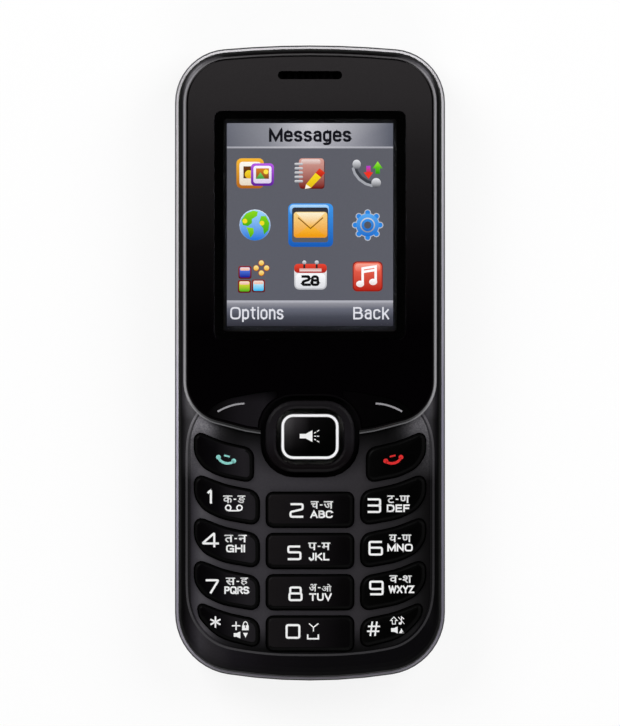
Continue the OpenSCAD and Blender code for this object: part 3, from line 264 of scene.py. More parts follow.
def frame_finish():
    """Satin grey paint of the keypad web, with painted light on its speckled shoulders, painted shade to the
    right, and painted shadow under the fascia and at the chin.
    """
    shader = Shader("web_paint_painted_light")
    # Grey paint, with painted shade that darkens it towards the right
    across = shader.along("X", [(-20.4, "1c1a1e"), (-19.4, "3c3a3f"), (-18.4, "4e4c50"), (-17.2, "4a484c"),
                                (-15.8, "403e42"), (-13.5, "38363a"), (0, "343236"), (9, "2e2c2f"),
                                (16, "252426"), (19.4, "0c0b0c"), (20.4, "040304")])
    # Painted shadow under the fascia and at the chin
    shadow = shader.along("Y", [(-48.6, 0.05), (-47.2, 0.3), (-45, 1.0), (-19, 1.0), (-16, 0.6), (-13, 0.12),
                                (-11.6, 0.04)])
    # Painted light on the shoulders beside the fascia, stronger at the left, with a speckle
    left = shader.along("X", [(-19.5, 1.0), (-17.6, 0.95), (-16.2, 0.36), (-15.2, 0.1), (-14, 0.03),
                              (-12.5, 0.0)])
    right = shader.along("X", [(13, 0.0), (14.4, 0.02), (15.4, 0.08), (16.6, 0.28), (17.8, 0.58),
                               (19.5, 0.66)])
    upper = shader.along("Y", [(-20, 0.0), (-13, 0.5), (-10, 1.0)])
    shoulder = shader.times(shader.blend(1.0, left, right, "ADD"), upper)
    lit_speckle = shader.mottle(shader.noise(0.22), "66646a", "88868a")
    shade = shader.blend(shoulder, shader.times(across, shadow), lit_speckle)
    return shader.finish(shade, (0.12, 0.25), (0.5, 0.5, 0.62), (0.15, 0.004), Specular_IOR_Level=0.05)


def key_finish(name, stops, axis="X", fade=None):
    """Gloss black key top with painted light and shade that drift across it, and may fade along its height.
    """
    shader = Shader(name)
    shade = shader.along(axis, stops, "Generated")
    if fade:
        shade = shader.times(shade, shader.along("Y", fade, "Generated"))
    return shader.finish(shade, (0.12, 0.2), (1.5, 0.3, 0.4), (0.6, 0.002), Specular_IOR_Level=0.035)


def trim_finish():
    """Silver lacquer: metal on the upright side, with painted shade on the sloping edge, a painted highlight
    on the flat top, and painted light paler along the left than the right.
    """
    low, high = box_mm("trim_band")
    top = high.z
    shader = Shader("trim_lacquer_painted_light")
    # Silver on the upright side, then painted shade down the sloping edge and a painted highlight on the flat
    # top
    rise = shader.along("Z", [(low.z - top, "a4a3a8"), (-0.62, "a4a3a8"), (-0.52, "2e2d32"), (-0.3, "4a494e"),
                              (-0.1, "74727a"), (-0.03, "fdfafe")], zero=top)
    # Painted light along the length, paler on the left side and dimmer at the ends
    left = shader.along("Y", [(-54, "959299"), (-52, "a2a0a8"), (-45, "aaa8b1"), (-32, "c5c4d3"),
                              (-20, "dcdbea"), (-6, "f3f2fe"), (10, 1.0), (52, "f9f9f9"), (54, "e4e4e4")])
    right = shader.along("Y", [(-54, "959299"), (-52, "9c9aa2"), (-45, "86848e"), (-32, "9290a0"),
                               (-9, "aaa8b8"), (11, "cfced8"), (28, "eae9ee"), (45, "fdfdfd"), (52, "f9f9f9"),
                               (54, "e4e4e4")])
    length = shader.blend(shader.span("X", -12, 12), left, right)
    # Painted shade on the sloping edge near the ends
    slope = shader.along("Z", [(-0.3, 0.03), (-0.08, 1.0)], zero=top)
    ends = shader.along("Y", [(-53, 1.0), (-48, 0.0), (51, 0.0), (53, 0.9)])
    edge = shader.along("Z", [(-0.62, 0.0), (-0.52, 1.0)], zero=top)
    metal = shader.along("Z", [(-0.62, 0.8), (-0.52, 0.0)], zero=top)
    painted_light_tint = shader.times(length, shader.blend(ends, grey(1.0), slope))
    return shader.finish(shader.blend(edge, rise, shader.times(rise, painted_light_tint)), (0.06, 0.15), (0.6, 0.34, 0.46),
                         (0.2, 0.002), Metallic=metal, Specular_IOR_Level=0.2)


def ring_finish():
    """White lacquer on the select ring, with painted shade that turns it grey down its edges."""
    shader = Shader("ring_lacquer_painted_shade")
    shade = shader.along("Z", [(-0.12, "2a2a2a"), (-0.03, "9a9a9c"), (-0.005, "f6f6f8")],
                         zero=box_mm("select_ring")[1].z)
    return shader.finish(shade, (0.04, 0.2), (0.5, 0.3, 0.4), (0.2, 0.001), Specular_IOR_Level=0.2)


def edge_highlight_finish():
    """Painted highlight along the edge of the keypad's opening, darker to the right and palest beside the
    fascia.
    """
    shader = Shader("edge_painted_highlight")
    across = shader.along("X", [(-21, "7c7a7e"), (21, "605e62")])
    rise = shader.along("Y", [(-45, 0.25), (-27, 0.2), (-20, 0.22), (-16.5, 0.4), (-13, 0.48), (-11, 0.7),
                              (-9.5, 1.0)])
    return shader.finish(shader.times(across, rise), (0.15, 0.3), (0.9, 0.4, 0.5), (0.1, 0.002),
                         Specular_IOR_Level=0.1)


def lens_finish():
    """Clear hard-coated acrylic with faint smears in its gloss."""
    shader = Shader("lens_acrylic")
    return shader.set(Base_Color=(0.98, 0.985, 1.0, 1.0), Transmission_Weight=1.0, IOR=1.45,
                      Roughness=shader.wander(shader.noise(9), 0.0, 0.025),
                      Normal=shader.bump(shader.noise(12), 0.0006))


def board_finish():
    """Green solder mask with lighter tracks."""
    shader = Shader("solder_mask")
    greens = {"Color1": linear("0c4424"), "Color2": linear("0a3c20"), "Mortar": linear("1d6a3a")}
    track = shader.node("TexBrick", {"Vector": shader.place["Object"], "Scale": 1 / (3 * MM),
                                     "Mortar Size": 0.05, **greens}, offset=0.37, squash=1.6)
    return shader.set(Base_Color=shader.grained(track["Color"], 0.2, 0.2),
                      Roughness=shader.wander(shader.noise(1.0), 0.3, 0.45),
                      Normal=shader.bump(track["Fac"], 0.02))


def screen_finish():
    """Lit display picture: its colours are stored on the mesh, under a faint pixel raster."""
    shader = Shader("screen_light")
    ink = shader.node("VertexColor", layer_name="ink")["Color"]
    raster = shader.mottle(shader.noise(0.3, 0.0), 0.96, 1.0)
    return shader.set(Emission_Color=shader.times(ink, raster), Emission_Strength=SCREEN_GLOW,
                      Base_Color=grey(0.0), Roughness=0.6, Specular_IOR_Level=0.0)


# Finishes of the key caps, prints and lines; the key tops carry painted light, lightest on the left column
# and darkest on the right
KEY_LEFT = key_finish("key_left_painted_light", [(0.0, "020102"), (0.35, "080709"), (0.8, "201e21"), (1.0, "1c1b1d")])
KEY_MIDDLE = key_finish("key_middle_painted_light", [(0.0, "181617"), (0.5, "121012"), (0.85, "060506"),
                                             (1.0, "040304")])
KEY_RIGHT = key_finish("key_right_painted_shade", [(0.0, "050505"), (0.4, "020202"), (1.0, "010101")])
COLUMNS = (KEY_LEFT, KEY_MIDDLE, KEY_RIGHT)
# Dull black of the key sides, also used as painted shade on the keys' shoulders
SIDE_AND_SHADE = plain("key_side_and_shade", "030303", rough=(0.5, 0.65), Specular_IOR_Level=0.04)
PRINT = plain("legend_white", "f0f0f0", rough=(0.45, 0.6), grain=0.08, size=0.1)
CALL_INK = plain("call_teal", "8ed8d0", rough=(0.45, 0.6), grain=0.35, size=0.25)
END_INK = plain("end_red", "e81414", rough=(0.45, 0.6), grain=0.35, size=0.25)
DASH = plain("dash_grey", "949296", rough=(0.4, 0.5), grain=0.1, size=0.2)
# Painted shade: a black line where the fascia's bevel meets its face
GROOVE_SHADE = plain("groove_painted_shade", "020102", rough=(0.6, 0.7), Specular_IOR_Level=0.03)
# Painted highlight of the line round the keypad
EDGE = edge_highlight_finish()

# Finishes of the CAD nodes that stay
NODE_FINISH = [
    (housing_finish(), ["front_housing"]),
    (plain("back_satin", "161617", rough=(0.4, 0.52), size=0.25, depth=0.012, Specular_IOR_Level=0.3),
     ["rear_housing"]),
    (plain("cover_satin", "1a1a1b", rough=(0.45, 0.6), size=0.25, depth=0.02), ["battery_cover"]),
    (trim_finish(), ["trim_band"]),
    (fascia_finish(), ["fascia"]),
    (lens_finish(), ["display_lens", "camera_window", "torch_lens"]),
    (frame_finish(), ["keypad_frame"]),
    # Painted light on the left soft key, dark at its ends and fading at its top; the right soft key is
    # painted in shade
    (key_finish("soft_key_painted_light", [(0.0, "030203"), (0.2, "0a090a"), (0.45, "151316"), (0.8, "19171a"),
                                   (1.0, "020102")], fade=[(0.7, 1.0), (0.98, 0.2)]), ["soft_key_left"]),
    (key_finish("soft_key_painted_shade", [(0.0, "020102"), (1.0, "010101")]), ["soft_key_right"]),
    # Painted light on the upper part of the nav ring
    (key_finish("nav_painted_light", [(0.0, "080607"), (0.25, "0e0b0d"), (0.5, "19171a"), (1.0, "161416")], "Y"),
     ["nav_ring"]),
    # Painted highlight at the select key's upper left corner
    (key_finish("select_painted_highlight", [(0.0, "565456"), (0.25, "2c2a2c"), (0.5, "080708"), (1.0, "010101")],
                fade=[(0.2, 0.05), (0.5, 0.3), (0.85, 1.0)]), ["select_key"]),
    (ring_finish(), ["select_ring"]),
    (plain("grille_black", "020202", rough=(0.7, 0.8), Specular_IOR_Level=0.01),
     ["earpiece_grille", "earpiece_speaker"]),
    (plain("silicone_rubber", "a2a29f", rough=(0.5, 0.7)), ["keypad_membrane", "nav_rocker"]),
    (plain("foam_rubber", "0d0d0d", rough=(0.85, 0.95), size=0.15, depth=0.05), ["lcd_gasket"]),
    (board_finish(), ["main_board"]),
    (plain("panel_glass", "2c2e33", rough=(0.15, 0.25)), ["lcd_panel"]),
    (plain("tray_plastic", "e2e2de", rough=(0.5, 0.6)), ["lcd_tray"]),
    (plain("ribbon_polyimide", "c4822e", rough=(0.35, 0.5), size=0.6), ["display_flex"]),
    (brushed("plated_sheet", "d2d2cf"),
     ["shield_can", "usb_port", "sim_socket_1", "sim_socket_2", "memory_card_socket", "housing_screws",
      "key_domes", "vibration_motor", "microphone"]),
    (brushed("sintered_metal", "9c9a97", rough=(0.45, 0.6)), ["vibration_weight"]),
    (plain("moulded_black", "2a2a2a", rough=(0.45, 0.6)), ["audio_jack", "camera_module", "loudspeaker"]),
    (plain("battery_wrap", "5c6068", rough=(0.35, 0.5), size=1.2), ["battery"]),
    (brushed("gold_plating", "e0bd78"), ["battery_contacts", "antenna"]),
    (plain("led_phosphor", "efe29a", rough=(0.2, 0.3)), ["torch_led"]),
]


# Meshes


def add_object(name, data):
    """New object in the scene."""
    made = bpy.data.objects.new(name, data)
    bpy.context.scene.collection.objects.link(made)
    return made


def make_piece(name, vertices, faces, body, materials):
    """Mesh piece from points in mm; faces are index lists, or (index list, material number)."""
    mesh = bpy.data.meshes.new(name)
    rows = [f if isinstance(f, tuple) else (f, 0) for f in faces]
    mesh.from_pydata([Vector(v) * MM for v in vertices], [], [indices for indices, _ in rows])
    for material in materials:
        mesh.materials.append(material)
    mesh.polygons.foreach_set("material_index", [number for _, number in rows])
    mesh.update()
    piece = add_object(name, mesh)
    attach(piece, body)
    return piece


def smooth(mesh, angle):
    """Smooth shading with edges sharper than angle kept crisp."""
    mesh.shade_smooth()
    mesh.set_sharp_from_angle(angle=math.radians(angle))


def pairs(loop):
    """Each point of an outline with the next one."""
    return zip(loop, loop[1:] + loop[:1])


def length_of(loop):
    return sum((a - b).length for a, b in pairs(loop))


def area_of(loop):
    return sum(a.x * b.y - b.x * a.y for a, b in pairs(loop)) / 2


def loops_at(node, z):
    """Closed outlines of a CAD node at height z, in mm, the longest first."""
    cut = bmesh.new()
    cut.from_mesh(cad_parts[node].data)
    bmesh.ops.remove_doubles(cut, verts=cut.verts, dist=1e-7)
    made = bmesh.ops.bisect_plane(cut, geom=cut.verts[:] + cut.edges[:] + cut.faces[:],
                                  plane_co=(0, 0, z * MM), plane_no=(0, 0, 1))
    # A dict keeps the edges' order, so that an outline starts at the same point in each run
    edges = dict.fromkeys(e for e in made["geom_cut"] if isinstance(e, bmesh.types.BMEdge))
    loops = []
    while edges:
        edge, _ = edges.popitem()
        start, here = edge.verts
        loop = [start.co.copy(), here.co.copy()]
        while here is not start:
            edge = next((e for e in here.link_edges if e in edges), None)
            if edge is None:
                break
            del edges[edge]
            here = edge.other_vert(here)
            loop.append(here.co.copy())
        loops.append([Vector((p.x / MM, p.y / MM)) for p in loop[:-1]])
    cut.free()
    return sorted(loops, key=length_of, reverse=True)


def even(loop, step, corner_cuts=2, fewest=24):
    """The outline counter-clockwise, with its corners eased and points about step mm apart."""
    if area_of(loop) < 0:
        loop = loop[::-1]
    for _ in range(corner_cuts):
        loop = [q for a, b in pairs(loop) for q in (a.lerp(b, 0.25), a.lerp(b, 0.75))]
    count = max(fewest, round(length_of(loop) / step))
    pace = length_of(loop) / count
    made, walked, target = [], 0.0, 0.0
    for a, b in pairs(loop):
        stretch = (b - a).length
        while stretch > 0 and target < walked + stretch and len(made) < count:
            made.append(a.lerp(b, (target - walked) / stretch))
            target += pace
        walked += stretch
    return made


def inset(loop, distance):
    """The outline moved inwards by distance."""
    made = []
    for i, here in enumerate(loop):
        along = (loop[(i + 1) % len(loop)] - loop[i - 1]).normalized()
        made.append(here + Vector((-along.y, along.x)) * distance)
    return made


def beside(loop, distance):
    """The outline moved outwards by a distance that depends on which way each point faces."""
    outer = inset(loop, -1.0)
    return [here + (out - here) * distance(out - here) for here, out in zip(loop, outer)]


def raised(loop, z):
    return [(p.x, p.y, z) for p in loop]


def band(n, first):
    """Faces between two rings of n points that follow each other from vertex first on."""
    return [[first + i, first + (i + 1) % n, first + n + (i + 1) % n, first + n + i] for i in range(n)]


# Key caps: spacing of their points, round shoulder and crown
KEY_STEP = 0.28
SHOULDER, SHOULDER_RINGS = 0.6, 6
CROWN, CROWN_RINGS = 0.15, 7
# Gap of the lip under the frame, its thickness, and how far the sides and the stem reach into it
LIP_GAP, LIP_T, WALL_SINK, STEM_SINK = 0.05, 0.9, 0.05, 0.1
# Where the CAD key is cut for its outlines: from the top of the lip, and from the foot of the stem
LIP_CUT, WALL_CUT, STEM_CUT = -0.4, 0.5, 0.2
# How far a side has to face right or down to be painted in shade, dull black right up to the top
SHADED_FACING = 0.4
# Sharpest turn, in degrees, that is still shaded smooth on the caps and on the CAD nodes
CAP_SMOOTH, NODE_SMOOTH = 50, 35


def key_cap(node, finish):
    """Key with a lip, upright sides, a round shoulder and a crowned top, over its CAD outline."""
    low, high = box_mm(node)
    lip_top = box_mm("keypad_frame")[0].z - LIP_GAP
    lip_low = lip_top - LIP_T
    edge_z = high.z - CROWN
    lip, wall, stem = (even(loops_at(node, z)[0], KEY_STEP)
                       for z in (lip_top + LIP_CUT, lip_top + WALL_CUT, low.z + STEM_CUT))

    lower = [raised(lip, lip_low), raised(lip, lip_top)]
    post = [raised(stem, low.z), raised(stem, lip_low + STEM_SINK)]
    upper = [raised(wall, lip_top - WALL_SINK), raised(wall, edge_z - SHOULDER)]
    for k in range(1, SHOULDER_RINGS + 1):
        turn = math.pi / 2 * k / SHOULDER_RINGS
        upper.append(raised(inset(wall, SHOULDER * (1 - math.cos(turn))),
                            edge_z - SHOULDER * (1 - math.sin(turn))))
    edge = inset(wall, SHOULDER)
    middle = sum(edge, Vector((0, 0))) / len(edge)
    for k in range(1, CROWN_RINGS):
        share = k / CROWN_RINGS
        upper.append(raised([p.lerp(middle, share) for p in edge], edge_z + CROWN * (1 - (1 - share) ** 2)))

    # Painted shade: the shoulder is dull black to its middle, and right up to the top on the right and lower
    # sides
    starts = [SHOULDER_RINGS + 1 if out.x > SHADED_FACING or out.y < -SHADED_FACING else 2 + SHOULDER_RINGS // 2
              for out in (a - b for a, b in zip(wall, inset(wall, 1.0)))]
    vertices, faces = [], []
    for rings, finish_from in ((lower, None), (upper, starts), (post, None)):
        n, first = len(rings[0]), len(vertices)
        last = first + (len(rings) - 1) * n
        for ring in rings:
            vertices.extend(ring)
        for k in range(len(rings) - 1):
            for i, face in enumerate(band(n, first + k * n)):
                faces.append((face, 0 if finish_from and k >= finish_from[i] else 1))
        faces.append((list(range(first, first + n))[::-1], 1))
        if finish_from:
            vertices.append((middle.x, middle.y, high.z))
            faces += [([last + i, last + (i + 1) % n, len(vertices) - 1], 0) for i in range(n)]
        else:
            faces.append((list(range(last, last + n)), 1))
    piece = make_piece("cap_" + node, vertices, faces, node, [finish, SIDE_AND_SHADE])
    smooth(piece.data, CAP_SMOOTH)
    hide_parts(node)
    return piece


def surface_of(pieces):
    """Finds the height of the highest of some pieces at a place, in mm."""
    graph = bpy.context.evaluated_depsgraph_get()
    trees = [BVHTree.FromObject(piece, graph) for piece in pieces]
    above = max(v.co.z for piece in pieces for v in piece.data.vertices) + MM

    def height(x, y):
        hits = [tree.ray_cast(Vector((x * MM, y * MM, above)), Vector((0, 0, -1)))[0] for tree in trees]
        found = [hit.z / MM for hit in hits if hit]
        return max(found) if found else above / MM - 1

    return height


# Prints: height over what they lie on, depth into it, and the longest step of their outlines
PRINT_T, PRINT_SINK, PRINT_STEP = 0.035, 0.04, 0.25
# Corners sharper than this, as a cosine, aren't mitred to their tip
MITRE_LIMIT = 0.35


class Print:
    """Collects flat shapes in mm and lays them on a piece as one thin printed mesh."""

    def __init__(self):
        self.vertices = []
        self.faces = []

    def stroke(self, points, width, closed=False):
        """Line split finely enough to follow a crown."""
        points = dense(points, closed, PRINT_STEP)
        n, first = len(points), len(self.vertices)
        for p in ribbon(points, width, closed):
            self.vertices += [(p.x, p.y, PRINT_T), (p.x, p.y, -PRINT_SINK)]
        for i in range(n if closed else n - 1):
            a, b = first + 4 * i, first + 4 * ((i + 1) % n)
            self.faces += [[a, a + 2, b + 2, b], [a + 1, b + 1, b + 3, a + 3],
                           [a, b, b + 1, a + 1], [a + 2, a + 3, b + 3, b + 2]]
        if not closed:
            end = first + 4 * (n - 1)
            self.faces += [[first, first + 1, first + 3, first + 2], [end, end + 2, end + 3, end + 1]]

    def slab(self, points):
        """Filled outline."""
        if area_of(points) < 0:
            points = points[::-1]
        points = dense(points, True, PRINT_STEP)
        n, first = len(points), len(self.vertices)
        middle = sum(points, Vector((0, 0))) / n
        self.vertices += raised(points, PRINT_T) + raised(points, -PRINT_SINK)
        self.vertices += [(middle.x, middle.y, PRINT_T), (middle.x, middle.y, -PRINT_SINK)]
        for i in range(n):
            a, b = first + i, first + (i + 1) % n
            self.faces += [[a, b, first + 2 * n], [b + n, a + n, first + 2 * n + 1], [a, a + n, b + n, b]]

    def draw(self, parts, width):
        """Parts of a drawing: slabs, and strokes of one width."""
        for points, mark in parts:
            if mark == "=":
                self.slab(points)
            else:
                self.stroke(points, width, mark in ("o", "c"))

    def words(self, text, middle):
        """Drawn letters, as wide together as LETTER_W says, centred on middle."""
        x, y = LETTER_W[text] / 2, LETTER_H / 2
        box = (middle.x - x, middle.x + x, middle.y + y, middle.y - y)
        for line, closed in lettered(text, *box, LETTER_STROKE):
            self.stroke(line, LETTER_STROKE, closed)

    def script(self, pair, middle):
        """Two letters of Blender's own script font with a short dash between them, centred on middle."""
        shapes = [letter(sign) for sign in pair]
        widths = [max(x for x, _, _ in vertices) for vertices, _ in shapes]
        scale = (SCRIPT_W - SCRIPT_GAP) / sum(widths)
        left = middle.x - SCRIPT_W / 2
        dash_at = left + widths[0] * scale + SCRIPT_GAP / 2
        for (vertices, faces), width in zip(shapes, widths):
            first = len(self.vertices)
            self.vertices += [(left + x * scale, middle.y + y * SCRIPT_H, PRINT_T if z > 0 else -PRINT_SINK)
                              for x, y, z in vertices]
            self.faces += [[first + i for i in face] for face in faces]
            left += width * scale + SCRIPT_GAP
        self.stroke([Vector((dash_at + side * SCRIPT_DASH / 2, middle.y)) for side in (-1, 1)], SCRIPT_DASH_W)

    def lay(self, name, body, material, *pieces, reach=0.0):
        """Makes the print, each point over the highest of its pieces' surface there and within reach."""
        height = surface_of(pieces)
        around = [(i * reach, j * reach) for i in (-1, 0, 1) for j in (-1, 0, 1)] if reach else [(0, 0)]
        laid = [(x, y, max(height(x + i, y + j) for i, j in around) + z) for x, y, z in self.vertices]
        make_piece(name, laid, self.faces, body, [material])


def ribbon(points, width, closed):
    """Left and right edge, in turn, of a line along points, mitred at its corners."""
    made = []
    for i, here in enumerate(points):
        back = points[i - 1] if closed or i > 0 else None
        ahead = points[(i + 1) % len(points)] if closed or i < len(points) - 1 else None
        u = (here - back).normalized() if back else (ahead - here).normalized()
        v = (ahead - here).normalized() if ahead else u
        side = Vector((-u.y - v.y, u.x + v.x)).normalized()
        reach = min(width / 2 / max(side.dot(Vector((-u.y, u.x))), MITRE_LIMIT), width)
        made += [here + side * reach, here - side * reach]
    return made


def dense(points, closed, step):
    """The polyline with points no more than about step apart."""
    made = []
    for a, b in pairs(points) if closed else zip(points, points[1:]):
        parts = max(1, math.ceil((b - a).length / step))
        made += [a.lerp(b, k / parts) for k in range(parts)]
    return made if closed else made + [points[-1]]


def eased(points, radius, closed=False, steps=3):
    """Polyline with its corners rounded."""
    n = len(points)
    made = []
    for i, here in enumerate(points):
        if not closed and i in (0, n - 1):
            made.append(here)
            continue
        back, ahead = points[i - 1], points[(i + 1) % n]
        reach = min(radius, *((other - here).length / (1 if not closed and end else 2)
                              for other, end in ((back, i == 1), (ahead, i == n - 2))))
        a, b = here + (back - here).normalized() * reach, here + (ahead - here).normalized() * reach
        for k in range(steps + 1):
            t = k / steps
            made.append(a.lerp(here, t).lerp(here.lerp(b, t), t))
    return made


def letter(sign):
    """Script letter as vertices and faces, 1 high about Y 0, from shifted copies that make it bolder."""
    curve = bpy.data.curves.new("letter", "FONT")
    curve.body = sign
    curve.extrude = 1.0
    curve.resolution_u = 3
    holder = add_object("letter", curve)
    bpy.context.view_layer.update()
    mesh = bpy.data.meshes.new_from_object(holder.evaluated_get(bpy.context.evaluated_depsgraph_get()))
    spots = [v.co.copy() for v in mesh.vertices]
    rows = [list(p.vertices) for p in mesh.polygons]
    bpy.data.objects.remove(holder)
    bpy.data.curves.remove(curve)
    bpy.data.meshes.remove(mesh)
    vertices, faces = [], []
    for x, y in SCRIPT_COPIES:
        first = len(vertices)
        vertices += [(p.x + SCRIPT_BOLD * x, p.y + SCRIPT_BOLD * y, p.z) for p in spots]
        faces += [[first + i for i in row] for row in rows]
    left = min(x for x, _, _ in vertices)
    low, high = (pick(y for _, y, _ in vertices) for pick in (min, max))
    return [(x - left, (y - low) / (high - low) - 0.5, z) for x, y, z in vertices], faces


# Numbers and letters: parts of x,y spots in hundredths of a capital's height. A part is a line; ~ marks a
# rounded line, o a rounded ring, c a closed line, = a filled outline, and @ an arc, by its middle, radii,
# first and last angle in degrees, and steps
GLYPHS = {
    "0": "o0,0 0,100 88,100 88,0",
    "1": "~0,82 15,100 22,100 22,0",
    "2": "~0,100 84,100 84,60 0,38 0,0 88,0",
    "3": "~0,100 86,100 86,56 78,51 86,46 86,0 0,0 | 0,51 78,51",
    "4": "~74,-2 74,110 -8,28 106,28",
    "5": "~86,100 4,100 4,54 88,54 88,0 0,0",
    "6": "~86,100 0,100 0,0 86,0 86,54 7,54",
    "7": "~0,100 88,100 32,-4",
    "8": "~6,53 6,100 78,100 78,53 | o0,0 0,53 84,53 84,0",
    "9": "~79,42 0,42 0,100 86,100 86,0 0,0",
    "#": "22,-2 36,112 | 54,-2 68,112 | 6,74 90,74 | 0,35 84,35",
    "*": "45,18 45,108 | 10,42 80,84 | 10,84 80,42",
    "A": "0,0 42,100 84,0 | 14,32 70,32",
    "B": "0,0 0,100 | ~0,100 62,100 62,54 0,54 | ~0,54 70,54 70,0 0,0",
    "C": "~78,72 78,100 0,100 0,0 78,0 78,28",
    "D": "0,0 0,100 | ~0,100 50,100 74,78 74,22 50,0 0,0",
    "E": "60,100 0,100 0,0 62,0 | 0,52 54,52",
    "F": "58,100 0,100 0,0 | 0,50 50,50",
    "G": "~76,74 76,100 0,100 0,0 78,0 78,30 | 46,46 78,46 78,0",
    "H": "0,0 0,100 | 72,0 72,100 | 0,52 72,52",
    "I": "0,0 0,100",
    "J": "~46,100 46,0 0,0 0,26",
    "K": "0,0 0,100 | 66,100 4,40 | 24,60 70,0",
    "L": "0,100 0,0 56,0",
    "M": "0,0 0,100 44,8 88,100 88,0",
    "N": "0,0 0,100 70,0 70,100",
    "O": "o0,0 0,100 84,100 84,0",
    "P": "0,0 0,100 | ~0,100 64,100 64,46 0,46",
    "Q": "o0,0 0,100 84,100 84,0 | 52,26 86,-4",
    "R": "0,0 0,100 | ~0,100 66,100 66,48 0,48 | 36,48 72,0",
    "S": "~66,74 66,100 0,100 0,54 68,48 68,0 0,0 0,26",
    "T": "0,100 76,100 | 38,100 38,0",
    "U": "~0,100 0,0 70,0 70,100",
    "V": "0,100 40,0 80,100",
    "W": "0,100 28,0 56,94 84,0 112,100",
    "X": "0,100 70,0 | 70,100 0,0",
    "Y": "0,100 37,46 74,100 | 37,46 37,0",
    "Z": "0,100 66,100 0,0 68,0",
    "a": "~2,60 2,80 46,80 46,0 | ~46,48 0,48 0,0 46,0 46,20",
    "c": "~48,60 48,80 0,80 0,0 48,0 48,20",
    "e": "0,42 50,42 | ~50,42 50,80 0,80 0,0 50,0 50,18",
    "g": "~48,80 48,-30 0,-30 0,-20 | o0,0 0,80 48,80 48,0",
    "i": "0,0 0,78 | 0,100 0,101",
    "k": "0,0 0,100 | 44,80 4,34 | 18,48 46,0",
    "n": "0,0 0,80 | ~0,50 0,80 46,80 46,0",
    "o": "o0,0 0,80 52,80 52,0",
    "p": "0,80 0,-24 | o0,0 0,80 50,80 50,0",
    "s": "~44,60 44,80 0,80 0,42 46,38 46,0 0,0 0,20",
    "t": "~14,100 14,0 36,0 | 0,80 34,80",
}
# Small signs in the same way, in hundredths of a mm
SIGNS = {
    "reels": "c@-95,8 45,45 0,324 9 | c@95,8 45,45 0,324 9 | -95,-42 95,-42",
    "plus": "-72,0 72,0 | 0,-72 0,72",
    "lock": "=-7,-10 -56,-10 -56,36 -7,36 | =7,-10 56,-10 56,36 7,36 | =-56,-48 56,-48 56,-10 -56,-10"
            " | @0,36 38,62 180,0 8",
    "speaker": "=-62,-32 -10,-32 50,-60 50,60 -10,32 -62,32",
    "down": "=-42,42 42,42 0,-42",
    "up": "=-42,-42 42,-42 0,42",
    "space": "-90,45 -90,-30 90,-30 90,45",
    "branch": "-85,75 -10,10 75,75 | -10,10 -10,-60",
    "shift": "c0,64 58,4 26,4 26,-56 -26,-56 -26,4 -58,4",
    "note": "5,-50 5,62 50,25 | =@-16,-50 28,22 0,330 10",
    "slash": "-50,60 55,-60",
    "handset": "@0,55 142,105 200,340 14 | =@-133.436,19.088 42,40 0,330 11"
               " | =@133.436,19.088 42,40 0,330 11",
    "bar": "-50,72 50,72",
    "torch": "=-165,-38 -55,-38 -55,38 -165,38 | =-60,-40 50,-100 50,100 -60,40 | 80,-49.6 110,-68.2"
             " | 125,-77.5 165,-102.3 | 80,0 110,0 | 125,0 165,0 | 80,49.6 110,68.2 | 125,77.5 165,102.3",
}

# Corner radius of numbers and of letters, and the gap between letters, in capital heights
DIGIT_ROUND, LETTER_ROUND, LETTER_GAP = 0.12, 0.32, 0.3
# Numbers and letters: their scale and the width of their lines; the star and hash have thinner lines
DIGIT_W, DIGIT_H, DIGIT_STROKE, SIGN_STROKE = 2.45, 2.14, 0.36, 0.28
LETTER_H, LETTER_STROKE = 1.3, 0.27
# Width of each group of letters in mm
LETTER_W = {"ABC": 3.85, "DEF": 3.9, "GHI": 3.22, "JKL": 3.5, "MNO": 4.33, "PQRS": 4.2, "TUV": 3.85,
            "WXYZ": 4.38}
# A pair of script letters: width, height, the gap between them and the dash in it
SCRIPT_W, SCRIPT_H, SCRIPT_GAP = 3.8, 1.28, 0.85
SCRIPT_DASH, SCRIPT_DASH_W = 0.45, 0.2
# Shift of the copies that make a script letter bolder, in the font's units, and their directions
SCRIPT_BOLD = 0.02
SCRIPT_COPIES = ((-1, -0.6), (1, -0.6), (0, 0.9))

# The keys row by row: number, letters and script letters, with their middles in photo pixels
LEGENDS = {
    "key_1": {"1": (209.5, 497), "कङ": (234.4, 499)},
    "key_2": {"2": (296.9, 510.2), "ABC": (321.5, 514), "चज": (321.8, 504.7)},
    "key_3": {"3": (373.8, 505.4), "DEF": (398.1, 508), "टण": (398.3, 499)},
    "key_4": {"4": (211.2, 540.2), "GHI": (235.7, 548.2), "तन": (235.8, 538.3)},
    "key_5": {"5": (294.1, 552.5), "JKL": (319.1, 556.3), "पम": (319.2, 546)},
    "key_6": {"6": (375.6, 547.9), "MNO": (399.9, 547.3), "यण": (400, 538)},
    "key_7": {"7": (212, 586.4), "PQRS": (236.8, 589.8), "सह": (237, 581)},
    "key_8": {"8": (295.5, 593.4), "TUV": (320.5, 596.6), "अओ": (320.4, 587.3)},
    "key_9": {"9": (376.3, 587.6), "WXYZ": (401.2, 588.9), "वश": (400.5, 578.7)},
    "key_star": {"*": (215.6, 621.5)},
    "key_0": {"0": (293, 631)},
    "key_hash": {"#": (373.5, 628.3)},
}
